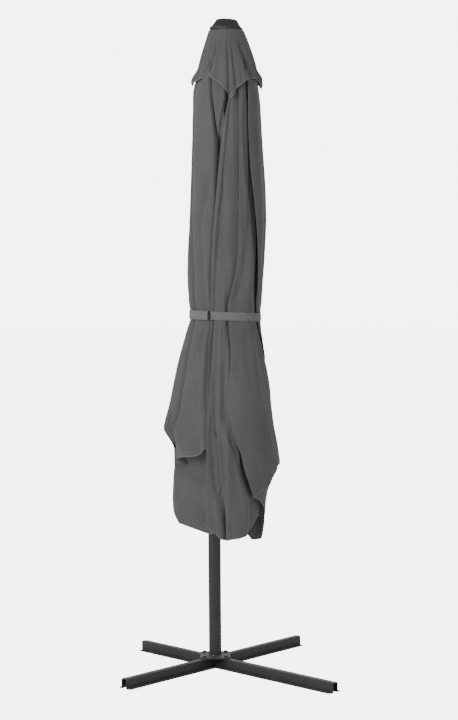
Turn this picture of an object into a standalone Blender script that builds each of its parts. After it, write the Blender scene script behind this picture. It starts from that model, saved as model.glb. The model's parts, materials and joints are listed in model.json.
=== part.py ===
"""Cantilever parasol, folded and strapped, on a cross base.

Metres, +Z up. The mast stands on the base's crossing. The boom's plane is turned
about the mast by BOOM_TURN, and -Y of that plane is the side the boom reaches to.
Lengths inside that plane are given with the mast's axis at x = 0, y = 0.
"""

import math

import bmesh
import bpy
from mathutils import Matrix, Vector

# ---------------------------------------------------------------- driving sizes
GAP = 0.0003                 # between faces that touch
PIN_PLAY = 0.0002            # radial play of a pin in its hole

# cross base: two folded channels with outward flanges, lapped at the crossing
ARM_FRONT_RIGHT = 0.600      # long arm, from the mast's axis
ARM_REAR_LEFT = 0.397
ARM_FRONT_LEFT = 0.474
ARM_REAR_RIGHT = 0.479
CHANNEL_HEIGHT = 0.037
CHANNEL_WIDTH = 0.026        # outside the two walls
CHANNEL_FLANGE = 0.018       # each flange, beyond its wall
CHANNEL_SHEET = 0.002
FLANGE_ROUND = 0.012         # corner radius of a flange's end
LAP_HEIGHT = 0.018           # the through bar keeps what is below, the cross bar what is above

# foot plate
PLATE_SIDE = 0.115
PLATE_THICK = 0.0055
PLATE_CHAMFER = 0.012
BOLT_CIRCLE = 0.058          # radius
BOLT_RADIUS = 0.004
BOLT_HOLE = 0.0046
BOLT_HEAD_ACROSS = 0.013
BOLT_HEAD_HEIGHT = 0.0053
BOLT_REACH = 0.012           # shank below the channel's web

# mast
MAST_RADIUS = 0.024
MAST_WALL = 0.002
MAST_JOINT_BELOW = 0.077     # joint of the two mast tubes, below the slider's grip
MAST_ABOVE_PIVOT = 0.040     # mast's top, above the strut pivot
WELD_RADIUS = 0.0032
SPIGOT_HALF = 0.110
SCREW_OFFSET = 0.040
SCREW_RADIUS = 0.0027
SCREW_HEAD_RADIUS = 0.007

# linkage
BOOM_TURN = math.radians(15)
BOOM_SWING = math.radians(68)
LINK_CLEAR = 0.011           # between the mast and the folded boom
STRUT_PIVOT_Z = 2.200
STRUT_LENGTH = 0.720         # also the boom's length from the slider pivot to the strut pivot
BOOM_SHORT = 0.060           # the folded boom ends this far below the strut pivot
HANGER_REACH = 0.150         # hanger pivot to the hub's axis
HANGER_ARM_HALF_X = 0.0070   # passes between two ribs
HANGER_FORK = 0.045          # length of the wide end round the pulley
PIN_RADIUS = 0.004
STRUT_WIDTH = 0.025
STRUT_THICK = 0.006
STRUT_CLEAR = 0.0085         # between the boom and each strut bar
EAR_THICK = 0.006

# boom
BOOM_X = 0.030
BOOM_Y = 0.040
BOOM_WALL = 0.002
BOOM_ROUND = 0.006
BOOM_END = 0.040             # tube end to the end pivots
FITTING_PLUG = 0.040
TONGUE_RADIUS = 0.014
TONGUE_HALF_X = 0.011
PULLEY_RADIUS = 0.0125
PULLEY_HALF_X = 0.005

# slider
SLEEVE_WALL = 0.0058
LINER_WALL = 0.003
LINER_PLAY = 0.0004
SLEEVE_BELOW = 0.058         # below the slider pivot
SLEEVE_ABOVE = 0.100
GRIP_LENGTH = 0.095
GRIP_WALL = 0.0066

# crank behind the slider
CASE_HALF_X = 0.034
CASE_HALF_Z = 0.040
CASE_DEPTH = 0.044
CASE_WALL = 0.0025
CRANK_Z = 0.030              # above the slider pivot
SHAFT_RADIUS = 0.005
DRUM_RADIUS = 0.020
DRUM_LENGTH = 0.024
CRANK_THROW = 0.095
CRANK_THICK = 0.009
KNOB_LENGTH = 0.045
KNOB_RADIUS = 0.013

# lock on the slider's right side
TRIGGER_Z = 0.058            # above the slider pivot
TRIGGER_OUT = 0.0095         # trigger's pivot, beyond the sleeve
TRIGGER_THICK = 0.0055
TRIGGER_HALF_Y = 0.011
TRIGGER_UP = 0.028
TRIGGER_DOWN = 0.019
LOCK_UP = 0.020              # brake pin above the trigger's pivot
LOCK_RADIUS = 0.0025
LOCK_HEAD_RADIUS = 0.0062
LOCK_HEAD_CLEAR = 0.0025     # under the head, to the trigger's outer face
TRIGGER_PIN_RADIUS = 0.0022
TRIGGER_LUG = 0.0035         # thickness of each of the two lugs

# hub, ribs and stretchers
POLE_RADIUS = 0.0125
POLE_WALL = 0.002
POLE_SPARE = 0.080           # pole below the stretchers' lower ends
HUB_ABOVE_HANGER = 0.230
HUB_HEIGHT = 0.034
HUB_RADIUS = 0.044
RIB_COUNT = 8
RIB_WIDTH = 0.009
RIB_DEPTH = 0.014
RIB_RADIUS = 0.036           # centre of a rib's top, from the hub's axis
RIB_LEAN = math.radians(1.6)
RIB_WALL = 0.001
CORNER_RIB = 1.780           # a side rib is shorter by the square's diagonal
STRETCHER_WIDTH = 0.007
STRETCHER_DEPTH = 0.008
STRETCHER_LENGTH = 0.560
STRETCHER_RADIUS = 0.0235    # centre of its lower end, from the hub's axis
STRETCHER_CLEAR = 0.001      # to the rib at its upper end
STRETCHER_DROP = 0.610       # stretcher's upper end, below the hub's top
RUNNER_HEIGHT = 0.050
RUNNER_RADIUS = 0.031

# canopy: drop below the hub's top, and reach to the left, right and front of the hub's axis
HEM_BELOW_RIB = 0.070
CANOPY_LEVELS = (
    (-0.002, 0.057, 0.061, 0.059),
    (0.026, 0.065, 0.074, 0.070),
    (0.200, 0.106, 0.113, 0.106),
    (0.230, 0.114, 0.121, 0.114),
    (0.418, 0.126, 0.134, 0.124),
    (0.680, 0.139, 0.139, 0.130),
    (0.902, 0.147, 0.127, 0.128),
    (1.025, 0.137, 0.121, 0.122),
    (1.167, 0.177, 0.132, 0.140),
    (1.345, 0.215, 0.151, 0.165),
    (1.434, 0.232, 0.162, 0.175),
    (1.523, 0.206, 0.174, 0.180),
    (1.613, 0.204, 0.166, 0.178),
    (1.746, 0.208, 0.141, 0.165),
    (1.850, 0.150, 0.127, 0.150),
)
CANOPY_CLEAR = 0.020         # between the canopy's back and the boom
CANOPY_WALL = 0.005
CANOPY_PANELS = 2            # sewn halves, left and right of the parting
PANEL_STEPS = 14
CANOPY_SLIT = 0.018          # half-width of the parting at the back
VENT_LEVELS = (
    (-0.006, 0.0635, 0.0675, 0.0655),
    (0.026, 0.0715, 0.0805, 0.0765),
    (0.120, 0.0975, 0.1045, 0.0995),
    (0.198, 0.1150, 0.1210, 0.1150),
)
VENT_WALL = 0.003
STRAP_DROP = 1.025
STRAP_HEIGHT = 0.030
STRAP_THICK = 0.0015
STRAP_OFF = 0.0025

# cap
CAP_ABOVE_HUB = 0.050
CAP_TOP_RADIUS = 0.0365
CAP_RIM_RADIUS = 0.060
CAP_RIM_ABOVE_HUB = 0.010
CAP_RIM_HEIGHT = 0.009
CAP_STEP = 0.012             # how far the step half-way down stands out past the top
CAP_WALL = 0.003
STUD_RADIUS = 0.006

ROUND = 24                   # sides of a large round piece
SMALL_ROUND = 16             # sides of a pin or a hole

# ---------------------------------------------------------------- derived places
LINK_Y = -(MAST_RADIUS + LINK_CLEAR + BOOM_Y / 2)
SLIDER_Z = STRUT_PIVOT_Z - 2 * STRUT_LENGTH
KNEE_Z = STRUT_PIVOT_Z - STRUT_LENGTH
HANGER_Z = STRUT_PIVOT_Z - BOOM_SHORT
HUB_Y = LINK_Y - HANGER_REACH
HUB_TOP_Z = HANGER_Z + HUB_ABOVE_HANGER
STRETCHER_TOP_Z = HUB_TOP_Z - STRETCHER_DROP
SIDE_RIB = CORNER_RIB / math.sqrt(2)
CANOPY_STRETCH = (CORNER_RIB + HEM_BELOW_RIB) / CANOPY_LEVELS[-1][0]
CANOPY_BACK = HANGER_REACH - BOOM_Y / 2 - CANOPY_CLEAR
MAST_TOP_Z = STRUT_PIVOT_Z + MAST_ABOVE_PIVOT
MAST_JOINT_Z = SLIDER_Z - SLEEVE_BELOW - GRIP_LENGTH - MAST_JOINT_BELOW
PLATE_Z = CHANNEL_HEIGHT + GAP
PLATE_TOP = PLATE_Z + PLATE_THICK
BAR_HALF = CHANNEL_WIDTH / 2
FLANGE_HALF = BAR_HALF + CHANNEL_FLANGE
LINER_INNER = MAST_RADIUS + LINER_PLAY
LINER_OUTER = LINER_INNER + LINER_WALL
SLEEVE_RADIUS = LINER_OUTER + GAP + SLEEVE_WALL
GRIP_RADIUS = LINER_INNER + GRIP_WALL
TRIGGER_X = SLEEVE_RADIUS + TRIGGER_OUT
STRUT_INNER_X = BOOM_X / 2 + STRUT_CLEAR
HOLE = PIN_RADIUS + PIN_PLAY
HANGER_HALF_X = TONGUE_HALF_X + 0.0005
CAP_TOP_Z = HUB_TOP_Z + CAP_ABOVE_HUB
CAP_RIM_Z = HUB_TOP_Z + CAP_RIM_ABOVE_HUB

MATERIALS = {
    "base_steel": ((0.052, 0.053, 0.056), 0.50, 0.6),
    "mast_steel": ((0.047, 0.048, 0.052), 0.42, 0.6),
    "bolt_steel": ((0.075, 0.076, 0.080), 0.40, 0.9),
    "frame_steel": ((0.055, 0.056, 0.060), 0.45, 0.6),
    "pin_steel": ((0.45, 0.45, 0.46), 0.35, 1.0),
    "black_plastic": ((0.020, 0.020, 0.022), 0.55, 0.0),
    "grey_plastic": ((0.060, 0.061, 0.065), 0.55, 0.0),
    "grip_rubber": ((0.015, 0.015, 0.016), 0.80, 0.0),
    "canopy_fabric": ((0.105, 0.107, 0.115), 0.90, 0.0),
    "strap_webbing": ((0.150, 0.152, 0.160), 0.85, 0.0),
}


# ---------------------------------------------------------------- scene and materials
def clear_scene():
    for thing in list(bpy.data.objects):
        bpy.data.objects.remove(thing, do_unlink=True)


def make_material(slot):
    colour, roughness, metallic = MATERIALS[slot]
    material = bpy.data.materials.get(slot) or bpy.data.materials.new(slot)
    material.use_nodes = True
    shader = material.node_tree.nodes["Principled BSDF"]
    shader.inputs["Base Color"].default_value = (*colour, 1.0)
    shader.inputs["Roughness"].default_value = roughness
    shader.inputs["Metallic"].default_value = metallic
    return material


def pivot(name, parent=None, location=(0, 0, 0), turn=0.0):
    """An empty on a joint's axis. Its world place is kept for placing meshes."""
    empty = bpy.data.objects.new(name, None)
    bpy.context.collection.objects.link(empty)
    empty.parent = parent
    start = Vector(parent["place"]) if parent and "place" in parent else Vector((0, 0, 0))
    empty.location = Vector(location) - start
    empty.rotation_euler = (0, 0, turn)
    empty["place"] = tuple(location)
    return empty


def finish(name, bm, holder, slot=None, smooth=None):
    """Turn a bmesh into an object hung on its holder, with the mesh given in the plane's frame."""
    bmesh.ops.remove_doubles(bm, verts=bm.verts, dist=1e-6)
    bmesh.ops.recalc_face_normals(bm, faces=bm.faces)
    place = Vector(holder["place"]) if holder is not None else Vector((0, 0, 0))
    bmesh.ops.translate(bm, verts=bm.verts, vec=-place)
    mesh = bpy.data.meshes.new(name)
    bm.to_mesh(mesh)
    bm.free()
    thing = bpy.data.objects.new(name, mesh)
    bpy.context.collection.objects.link(thing)
    thing.parent = holder
    if slot:
        mesh.materials.append(make_material(slot))
    else:
        thing.hide_render = True
        thing.display_type = "WIRE"
    if smooth:
        mesh.shade_smooth()
        mesh.set_sharp_from_angle(angle=math.radians(smooth))
    return thing


def combine(thing, other, operation):
    modifier = thing.modifiers.new(other.name, "BOOLEAN")
    modifier.operation = operation
    modifier.solver = "EXACT"
    modifier.object = other
    return thing


def cut(thing, *others):
    for other in others:
        combine(thing, other, "DIFFERENCE")
    return thing


def join(thing, *others):
    for other in others:
        combine(thing, other, "UNION")
    return thing


# ---------------------------------------------------------------- shapes
def loft(rings, closed_loop=False):
    """Bridge rings with equal counts of points; cap both ends, or close the loop of rings."""
    bm = bmesh.new()
    made = [[bm.verts.new(point) for point in ring] for ring in rings]
    count = len(made[0])
    pairs = list(zip(made, made[1:]))
    if closed_loop:
        pairs.append((made[-1], made[0]))
    for low, high in pairs:
        for i in range(count):
            j = (i + 1) % count
            bm.faces.new((low[i], low[j], high[j], high[i]))
    if not closed_loop:
        bm.faces.new(list(reversed(made[0])))
        bm.faces.new(made[-1])
    return bm


def circle(radius, count=ROUND, start=0.0):
    return [
        (radius * math.cos(start + math.tau * i / count), radius * math.sin(start + math.tau * i / count))
        for i in range(count)
    ]


def along(axis, flat, level, centre=(0.0, 0.0)):
    """Points of a flat outline put at a level along an axis, about a centre."""
    u0, v0 = centre
    if axis == "x":
        return [(level, u + u0, v + v0) for u, v in flat]
    if axis == "y":
        return [(u + u0, level, v + v0) for u, v in flat]
    return [(u + u0, v + v0, level) for u, v in flat]


def prism(axis, flat, low, high, centre=(0.0, 0.0)):
    return loft([along(axis, flat, low, centre), along(axis, flat, high, centre)])


def turned(axis, profile, centre=(0.0, 0.0), count=ROUND, closed=False):
    """Rings of (radius, level) along an axis; a closed profile makes a tube."""
    rings = [along(axis, circle(radius, count), level, centre) for radius, level in profile]
    return loft(rings, closed_loop=closed)


def tube_profile(outer, inner, low, high):
    return [(outer, low), (outer, high), (inner, high), (inner, low)]


def block(low, high):
    flat = [(low[0], low[1]), (high[0], low[1]), (high[0], high[1]), (low[0], high[1])]
    return prism("z", flat, low[2], high[2])


def stadium(half_width, start, end, steps=8):
    """Outline with round ends about two centres on one upright or level line."""
    a, b = Vector(start), Vector(end)
    heading = math.atan2((b - a).y, (b - a).x)
    points = []
    for centre, first in ((b, heading - math.pi / 2), (a, heading + math.pi / 2)):
        for i in range(steps + 1):
            angle = first + math.pi * i / steps
            points.append((centre.x + half_width * math.cos(angle), centre.y + half_width * math.sin(angle)))
    return points


def rounded_box(half_u, half_v, radius, steps=3):
    points = []
    for quarter in range(4):
        sign_u = (1, -1, -1, 1)[quarter]
        sign_v = (1, 1, -1, -1)[quarter]
        for i in range(steps + 1):
            angle = (quarter + i / steps) * math.pi / 2
            u = sign_u * (half_u - radius) + radius * math.cos(angle)
            v = sign_v * (half_v - radius) + radius * math.sin(angle)
            points.append((u, v))
    return points


def rivet(name, holder, slot, half, head, centre, radius=PIN_RADIUS, head_radius=0.0075):
    """Pin along X with a domed head at each end, outside +/-half."""
    profile = [
        (head_radius * 0.7, -half - head),
        (head_radius, -half - head * 0.5),
        (head_radius, -half),
        (radius, -half),
        (radius, half),
        (head_radius, half),
        (head_radius, half + head * 0.5),
        (head_radius * 0.7, half + head),
    ]
    return finish(name, turned("x", profile, centre, SMALL_ROUND), holder, slot, 40)


def hole_x(name, holder, radius, centre, reach=0.06):
    return finish(name, turned("x", [(radius, -reach), (radius, reach)], centre, SMALL_ROUND), holder)


# ---------------------------------------------------------------- cross base
def bar_outline(front, rear):
    """Plan of a bar along its own X: flange ends rounded."""
    length = front + rear
    flat = rounded_box(length / 2, FLANGE_HALF, FLANGE_ROUND, steps=4)
    return [(u + (front - rear) / 2, v) for u, v in flat]


def bar_corners(front, rear, heading):
    spin = Matrix.Rotation(heading, 2)
    return [spin @ Vector(point) for point in bar_outline(front, rear)]


def channel(name, slot, holder, front, rear, heading):
    inner = BAR_HALF - CHANNEL_SHEET
    top = CHANNEL_HEIGHT
    sheet = CHANNEL_SHEET
    section = [
        (-FLANGE_HALF, 0), (-inner, 0), (-inner, top - sheet), (inner, top - sheet),
        (inner, 0), (FLANGE_HALF, 0), (FLANGE_HALF, sheet), (BAR_HALF, sheet),
        (BAR_HALF, top - sheet), (BAR_HALF - sheet, top), (sheet - BAR_HALF, top),
        (-BAR_HALF, top - sheet), (-BAR_HALF, sheet), (-FLANGE_HALF, sheet),
    ]
    bar = finish(name, prism("x", section, -rear, front), holder, slot)
    plan = finish(name + "_plan", prism("z", bar_outline(front, rear), -0.01, top + 0.01), holder)
    combine(bar, plan, "INTERSECT")
    parts = [bar, plan]
    for side in (1, -1):
        flat = circle(BOLT_HOLE, SMALL_ROUND)
        bore = prism("z", flat, top - 2 * sheet, top + 0.01, (side * BOLT_CIRCLE, 0))
        cutter = finish(name + ("_bore_front" if side > 0 else "_bore_rear"), bore, holder)
        cut(bar, cutter)
        parts.append(cutter)
    for part in parts:
        part.rotation_euler = (0, 0, heading)
    return bar


def make_base(holder):
    through_heading = -math.pi / 4
    cross_heading = through_heading - math.pi / 2
    through = channel("base_bar_through", "base_steel", holder, ARM_FRONT_RIGHT, ARM_REAR_LEFT, through_heading)
    cross = channel("base_bar_cross", "base_steel", holder, ARM_FRONT_LEFT, ARM_REAR_RIGHT, cross_heading)
    slot_half = BAR_HALF + GAP
    slot_low = (-slot_half, -0.05, LAP_HEIGHT)
    slot_high = (slot_half, 0.05, CHANNEL_HEIGHT + 0.01)
    slot = finish("lap_slot", block(slot_low, slot_high), holder)
    slot.rotation_euler = (0, 0, through_heading)
    cut(through, slot)
    notch_half = FLANGE_HALF + GAP
    notch = finish("lap_notch", block((-notch_half, -0.05, -0.01), (notch_half, 0.05, LAP_HEIGHT + GAP)), holder)
    notch.rotation_euler = (0, 0, cross_heading)
    cut(cross, notch)


def chamfered_square(side, chamfer):
    half = side / 2
    short = half - chamfer
    return [
        (half, -short), (half, short), (short, half), (-short, half),
        (-half, short), (-half, -short), (-short, -half), (short, -half),
    ]


def hexagon_ring(across):
    """A hexagon with a point in the middle of each side, so it bridges to a round of twelve."""
    corner = across / math.sqrt(3)
    points = []
    for i in range(12):
        radius = corner if i % 2 == 0 else across / 2
        angle = math.tau * i / 12
        points.append((radius * math.cos(angle), radius * math.sin(angle)))
    return points


def make_foot(holder):
    plate = finish("foot_plate", prism("z", chamfered_square(PLATE_SIDE, PLATE_CHAMFER), PLATE_Z, PLATE_TOP),
                   holder, "base_steel")
    corner = BOLT_CIRCLE / math.sqrt(2)
    places = {
        "front_left": (-corner, -corner), "front_right": (corner, -corner),
        "rear_left": (-corner, corner), "rear_right": (corner, corner),
    }
    head_low = PLATE_TOP + GAP
    head_high = head_low + BOLT_HEAD_HEIGHT
    tip = CHANNEL_HEIGHT - CHANNEL_SHEET - BOLT_REACH
    for side, centre in places.items():
        bore = prism("z", circle(BOLT_HOLE, SMALL_ROUND), PLATE_Z - 0.01, PLATE_TOP + 0.01, centre)
        cut(plate, finish("plate_bore_" + side, bore, holder))
        shank = circle(BOLT_RADIUS, 12)
        head = hexagon_ring(BOLT_HEAD_ACROSS)
        crown = circle(BOLT_HEAD_ACROSS * 0.46, 12)
        rings = [
            along("z", shank, tip, centre),
            along("z", shank, head_low, centre),
            along("z", head, head_low, centre),
            along("z", head, head_high - 0.001, centre),
            along("z", crown, head_high, centre),
        ]
        finish("foot_bolt_" + side, loft(rings), holder, "bolt_steel")


# ---------------------------------------------------------------- mast
def make_mast(holder):
    inner = MAST_RADIUS - MAST_WALL
    foot = PLATE_TOP + GAP
    lower_profile = [
        (MAST_RADIUS + WELD_RADIUS, foot), (MAST_RADIUS + WELD_RADIUS * 0.3, foot + WELD_RADIUS * 0.4),
        (MAST_RADIUS, foot + WELD_RADIUS), (MAST_RADIUS, MAST_JOINT_Z), (inner, MAST_JOINT_Z), (inner, foot),
    ]
    lower = finish("mast_lower", turned("z", lower_profile, count=ROUND, closed=True), holder, "mast_steel", 40)
    upper_profile = tube_profile(MAST_RADIUS, inner, MAST_JOINT_Z + GAP, MAST_TOP_Z)
    upper = finish("mast_upper", turned("z", upper_profile, closed=True), holder, "mast_steel", 40)
    spigot_outer = inner - GAP
    spigot_profile = tube_profile(spigot_outer, spigot_outer - MAST_WALL,
                                  MAST_JOINT_Z - SPIGOT_HALF, MAST_JOINT_Z + SPIGOT_HALF)
    spigot = finish("mast_spigot", turned("z", spigot_profile, closed=True), holder, "frame_steel", 40)
    for name, tube, level in (("mast_screw_lower", lower, MAST_JOINT_Z - SCREW_OFFSET),
                              ("mast_screw_upper", upper, MAST_JOINT_Z + SCREW_OFFSET)):
        seat = MAST_RADIUS + GAP
        profile = [
            (SCREW_RADIUS, spigot_outer - 0.006), (SCREW_RADIUS, seat), (SCREW_HEAD_RADIUS, seat),
            (SCREW_HEAD_RADIUS * 0.85, seat + 0.0022), (SCREW_HEAD_RADIUS * 0.4, seat + 0.0033),
        ]
        finish(name, turned("y", profile, (0, level), SMALL_ROUND), holder, "bolt_steel", 40)
        bore = turned("y", [(SCREW_RADIUS + GAP, 0.010), (SCREW_RADIUS + GAP, 0.040)], (0, level), SMALL_ROUND)
        cutter = finish(name + "_bore", bore, holder)
        cut(tube, cutter)
        cut(spigot, cutter)


def make_mast_head(holder):
    skirt = 0.060
    wall = 0.012
    low = MAST_TOP_Z - skirt
    top = MAST_TOP_Z + 0.020
    outer = MAST_RADIUS + wall
    cap_profile = [
        (MAST_RADIUS + GAP, low), (outer - 0.002, low), (outer, low + 0.003), (outer, top - 0.008),
        (outer - 0.008, top), (0.002, top), (0.002, MAST_TOP_Z + GAP), (MAST_RADIUS + GAP, MAST_TOP_Z + GAP),
    ]
    head = finish("mast_head", turned("z", cap_profile, closed=True), holder, "black_plastic", 40)
    ear_in = STRUT_INNER_X + STRUT_THICK + 0.001
    flat = stadium(0.017, (LINK_Y, STRUT_PIVOT_Z), (-0.012, STRUT_PIVOT_Z))
    for name, low_x in (("head_ear_left", -ear_in - EAR_THICK), ("head_ear_right", ear_in)):
        join(head, finish(name, prism("x", flat, low_x, low_x + EAR_THICK), holder))
    room = block((-ear_in, -0.10, low - 0.01), (ear_in, -MAST_RADIUS - 0.006, top + 0.01))
    cut(head, finish("head_room", room, holder), hole_x("head_bore", holder, HOLE, (LINK_Y, STRUT_PIVOT_Z)))
    rivet("strut_pivot_pin", holder, "pin_steel", ear_in + EAR_THICK + GAP, 0.003, (LINK_Y, STRUT_PIVOT_Z))


# ---------------------------------------------------------------- strut
def make_strut(holder):
    flat = stadium(STRUT_WIDTH / 2, (LINK_Y, KNEE_Z), (LINK_Y, STRUT_PIVOT_Z))
    bores = [hole_x("strut_bore_top", holder, HOLE, (LINK_Y, STRUT_PIVOT_Z)),
             hole_x("strut_bore_knee", holder, HOLE, (LINK_Y, KNEE_Z))]
    for name, low_x in (("strut_bar_left", -STRUT_INNER_X - STRUT_THICK), ("strut_bar_right", STRUT_INNER_X)):
        bar = finish(name, prism("x", flat, low_x, low_x + STRUT_THICK), holder, "frame_steel", 40)
        cut(bar, *bores)
    rivet("boom_pivot_pin", holder, "pin_steel", STRUT_INNER_X + STRUT_THICK + GAP, 0.003, (LINK_Y, KNEE_Z))


# ---------------------------------------------------------------- boom
def make_boom(holder):
    low = SLIDER_Z + BOOM_END
    high = HANGER_Z - BOOM_END
    outer = rounded_box(BOOM_X / 2, BOOM_Y / 2, BOOM_ROUND)
    inner = rounded_box(BOOM_X / 2 - BOOM_WALL, BOOM_Y / 2 - BOOM_WALL, BOOM_ROUND - BOOM_WALL)
    centre = (0, LINK_Y)
    rings = [along("z", outer, low, centre), along("z", outer, high, centre),
             along("z", inner, high, centre), along("z", inner, low, centre)]
    boom = finish("boom_tube", loft(rings, closed_loop=True), holder, "frame_steel", 40)
    bush_radius = 0.0085
    cut(boom, hole_x("boom_bush_bore", holder, bush_radius + GAP, (LINK_Y, KNEE_Z)))
    bush_half = STRUT_INNER_X - GAP
    bush = turned("x", tube_profile(bush_radius, HOLE, -bush_half, bush_half), (LINK_Y, KNEE_Z), SMALL_ROUND, True)
    finish("boom_pivot_bush", bush, holder, "grey_plastic", 40)

    fit = BOOM_WALL + GAP
    plug = rounded_box(BOOM_X / 2 - fit, BOOM_Y / 2 - fit, BOOM_ROUND - BOOM_WALL)
    collar_thick = 0.008
    foot_rings = [along("z", outer, low - GAP - collar_thick, centre), along("z", outer, low - GAP, centre),
                  along("z", plug, low - GAP, centre), along("z", plug, low + FITTING_PLUG, centre)]
    foot = finish("boom_foot", loft(foot_rings), holder, "black_plastic", 40)
    tongue = prism("x", stadium(TONGUE_RADIUS, (LINK_Y, SLIDER_Z), (LINK_Y, low)), -TONGUE_HALF_X, TONGUE_HALF_X)
    join(foot, finish("foot_tongue", tongue, holder))
    cut(foot, hole_x("foot_bore", holder, HOLE, (LINK_Y, SLIDER_Z)))

    head_rings = [along("z", plug, high - FITTING_PLUG, centre), along("z", plug, high + GAP, centre),
                  along("z", outer, high + GAP, centre), along("z", outer, high + GAP + collar_thick, centre)]
    head = finish("boom_head", loft(head_rings), holder, "black_plastic", 40)
    ear_in = HANGER_HALF_X + 0.0005
    ear = stadium(TONGUE_RADIUS, (LINK_Y, high + GAP + TONGUE_RADIUS), (LINK_Y, HANGER_Z))
    for name, low_x in (("boom_ear_left", -ear_in - EAR_THICK + 0.001), ("boom_ear_right", ear_in)):
        join(head, finish(name, prism("x", ear, low_x, low_x + EAR_THICK - 0.001), holder))
    room_low = (-ear_in, -0.1, high + GAP + collar_thick - 0.0001)
    room_high = (ear_in, 0.0, HANGER_Z + 0.03)
    cut(head, finish("boom_ear_room", block(room_low, room_high), holder),
        hole_x("boom_head_bore", holder, HOLE, (LINK_Y, HANGER_Z)))
    rivet("hanger_pin", holder, "pin_steel", ear_in + EAR_THICK - 0.001 + GAP, 0.002, (LINK_Y, HANGER_Z))


def make_pulley(holder):
    half = PULLEY_HALF_X
    profile = [
        (PULLEY_RADIUS, -half), (PULLEY_RADIUS, -half * 0.7), (PULLEY_RADIUS - 0.003, 0),
        (PULLEY_RADIUS, half * 0.7), (PULLEY_RADIUS, half), (HOLE, half), (HOLE, -half),
    ]
    finish("cord_pulley", turned("x", profile, (LINK_Y, HANGER_Z), ROUND, True), holder, "grey_plastic", 40)


# ---------------------------------------------------------------- slider, crank and lock
def make_slider(holder):
    low = SLIDER_Z - SLEEVE_BELOW
    high = SLIDER_Z + SLEEVE_ABOVE
    bore = LINER_OUTER + GAP
    profile = [
        (bore, low), (SLEEVE_RADIUS - 0.0015, low), (SLEEVE_RADIUS, low + 0.0015),
        (SLEEVE_RADIUS, high - 0.0015), (SLEEVE_RADIUS - 0.0015, high), (bore, high),
    ]
    body = finish("slider_body", turned("z", profile, count=ROUND, closed=True), holder, "black_plastic", 40)
    ear_in = TONGUE_HALF_X + 0.001
    flat = stadium(0.016, (LINK_Y, SLIDER_Z), (-MAST_RADIUS, SLIDER_Z))
    for name, low_x in (("slider_ear_left", -ear_in - EAR_THICK), ("slider_ear_right", ear_in)):
        join(body, finish(name, prism("x", flat, low_x, low_x + EAR_THICK), holder))
    lug_in = TRIGGER_HALF_Y + 0.001
    lug_level = SLIDER_Z + TRIGGER_Z
    lug = stadium(0.007, (TRIGGER_X, lug_level), (MAST_RADIUS + 0.002, lug_level))
    for name, low_y in (("trigger_lug_front", -lug_in - TRIGGER_LUG), ("trigger_lug_rear", lug_in)):
        join(body, finish(name, prism("y", lug, low_y, low_y + TRIGGER_LUG), holder))
    mast_room = turned("z", [(bore, low - 0.01), (bore, high + 0.01)])
    bore_radius = TRIGGER_PIN_RADIUS + GAP
    trigger_bore = turned("y", [(bore_radius, -0.03), (bore_radius, 0.03)], (TRIGGER_X, lug_level), SMALL_ROUND)
    lock_level = lug_level + LOCK_UP
    lock_profile = [(LOCK_RADIUS + GAP, 0.010), (LOCK_RADIUS + GAP, 0.060)]
    lock_bore = finish("lock_bore", turned("x", lock_profile, (0, lock_level), SMALL_ROUND), holder)
    cut(body, finish("slider_bore", mast_room, holder), finish("trigger_bore", trigger_bore, holder), lock_bore,
        hole_x("slider_pin_bore", holder, HOLE, (LINK_Y, SLIDER_Z), 0.03))

    liner_profile = tube_profile(LINER_OUTER, LINER_INNER, low + 0.001, high - 0.001)
    liner = finish("slider_liner", turned("z", liner_profile, closed=True), holder, "grey_plastic", 40)
    cut(liner, lock_bore)
    rivet("slider_pin", holder, "pin_steel", ear_in + EAR_THICK + GAP, 0.003, (LINK_Y, SLIDER_Z))

    grip_low = low - GAP - GRIP_LENGTH
    rib_count = 5
    pitch = GRIP_LENGTH / rib_count
    grip_profile = [(LINER_INNER, grip_low)]
    for i in range(rib_count):
        base = grip_low + i * pitch
        grip_profile += [(GRIP_RADIUS - 0.002, base), (GRIP_RADIUS, base + pitch * 0.25),
                         (GRIP_RADIUS, base + pitch * 0.75)]
    grip_profile += [(GRIP_RADIUS - 0.002, low - GAP), (LINER_INNER, low - GAP)]
    finish("slider_grip", turned("z", grip_profile, closed=True), holder, "grip_rubber", 40)

    seat = lug_in + TRIGGER_LUG + GAP
    pin_head = TRIGGER_PIN_RADIUS + 0.0013
    pin_profile = [(pin_head, -seat - 0.0017), (pin_head, -seat), (TRIGGER_PIN_RADIUS, -seat),
                   (TRIGGER_PIN_RADIUS, seat), (pin_head, seat), (pin_head, seat + 0.0017)]
    finish("trigger_pin", turned("y", pin_profile, (TRIGGER_X, lug_level), 12), holder, "pin_steel", 40)


def make_crank_case(holder):
    level = SLIDER_Z + CRANK_Z
    front = SLEEVE_RADIUS + GAP
    back = front + CASE_DEPTH
    rings = [along("y", rounded_box(CASE_HALF_X, CASE_HALF_Z, 0.008), front, (0, level)),
             along("y", rounded_box(CASE_HALF_X, CASE_HALF_Z, 0.008), back - 0.004, (0, level)),
             along("y", rounded_box(CASE_HALF_X - 0.004, CASE_HALF_Z - 0.004, 0.006), back, (0, level))]
    case = finish("crank_case", loft(rings), holder, "black_plastic", 40)
    room_flat = rounded_box(CASE_HALF_X - CASE_WALL, CASE_HALF_Z - CASE_WALL, 0.006)
    room = prism("y", room_flat, front - 0.01, back - 0.005, (0, level))
    bore = turned("y", [(SHAFT_RADIUS + PIN_PLAY, back - 0.02), (SHAFT_RADIUS + PIN_PLAY, back + 0.02)],
                  (0, level), SMALL_ROUND)
    cut(case, finish("case_room", room, holder), finish("case_bore", bore, holder))


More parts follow.
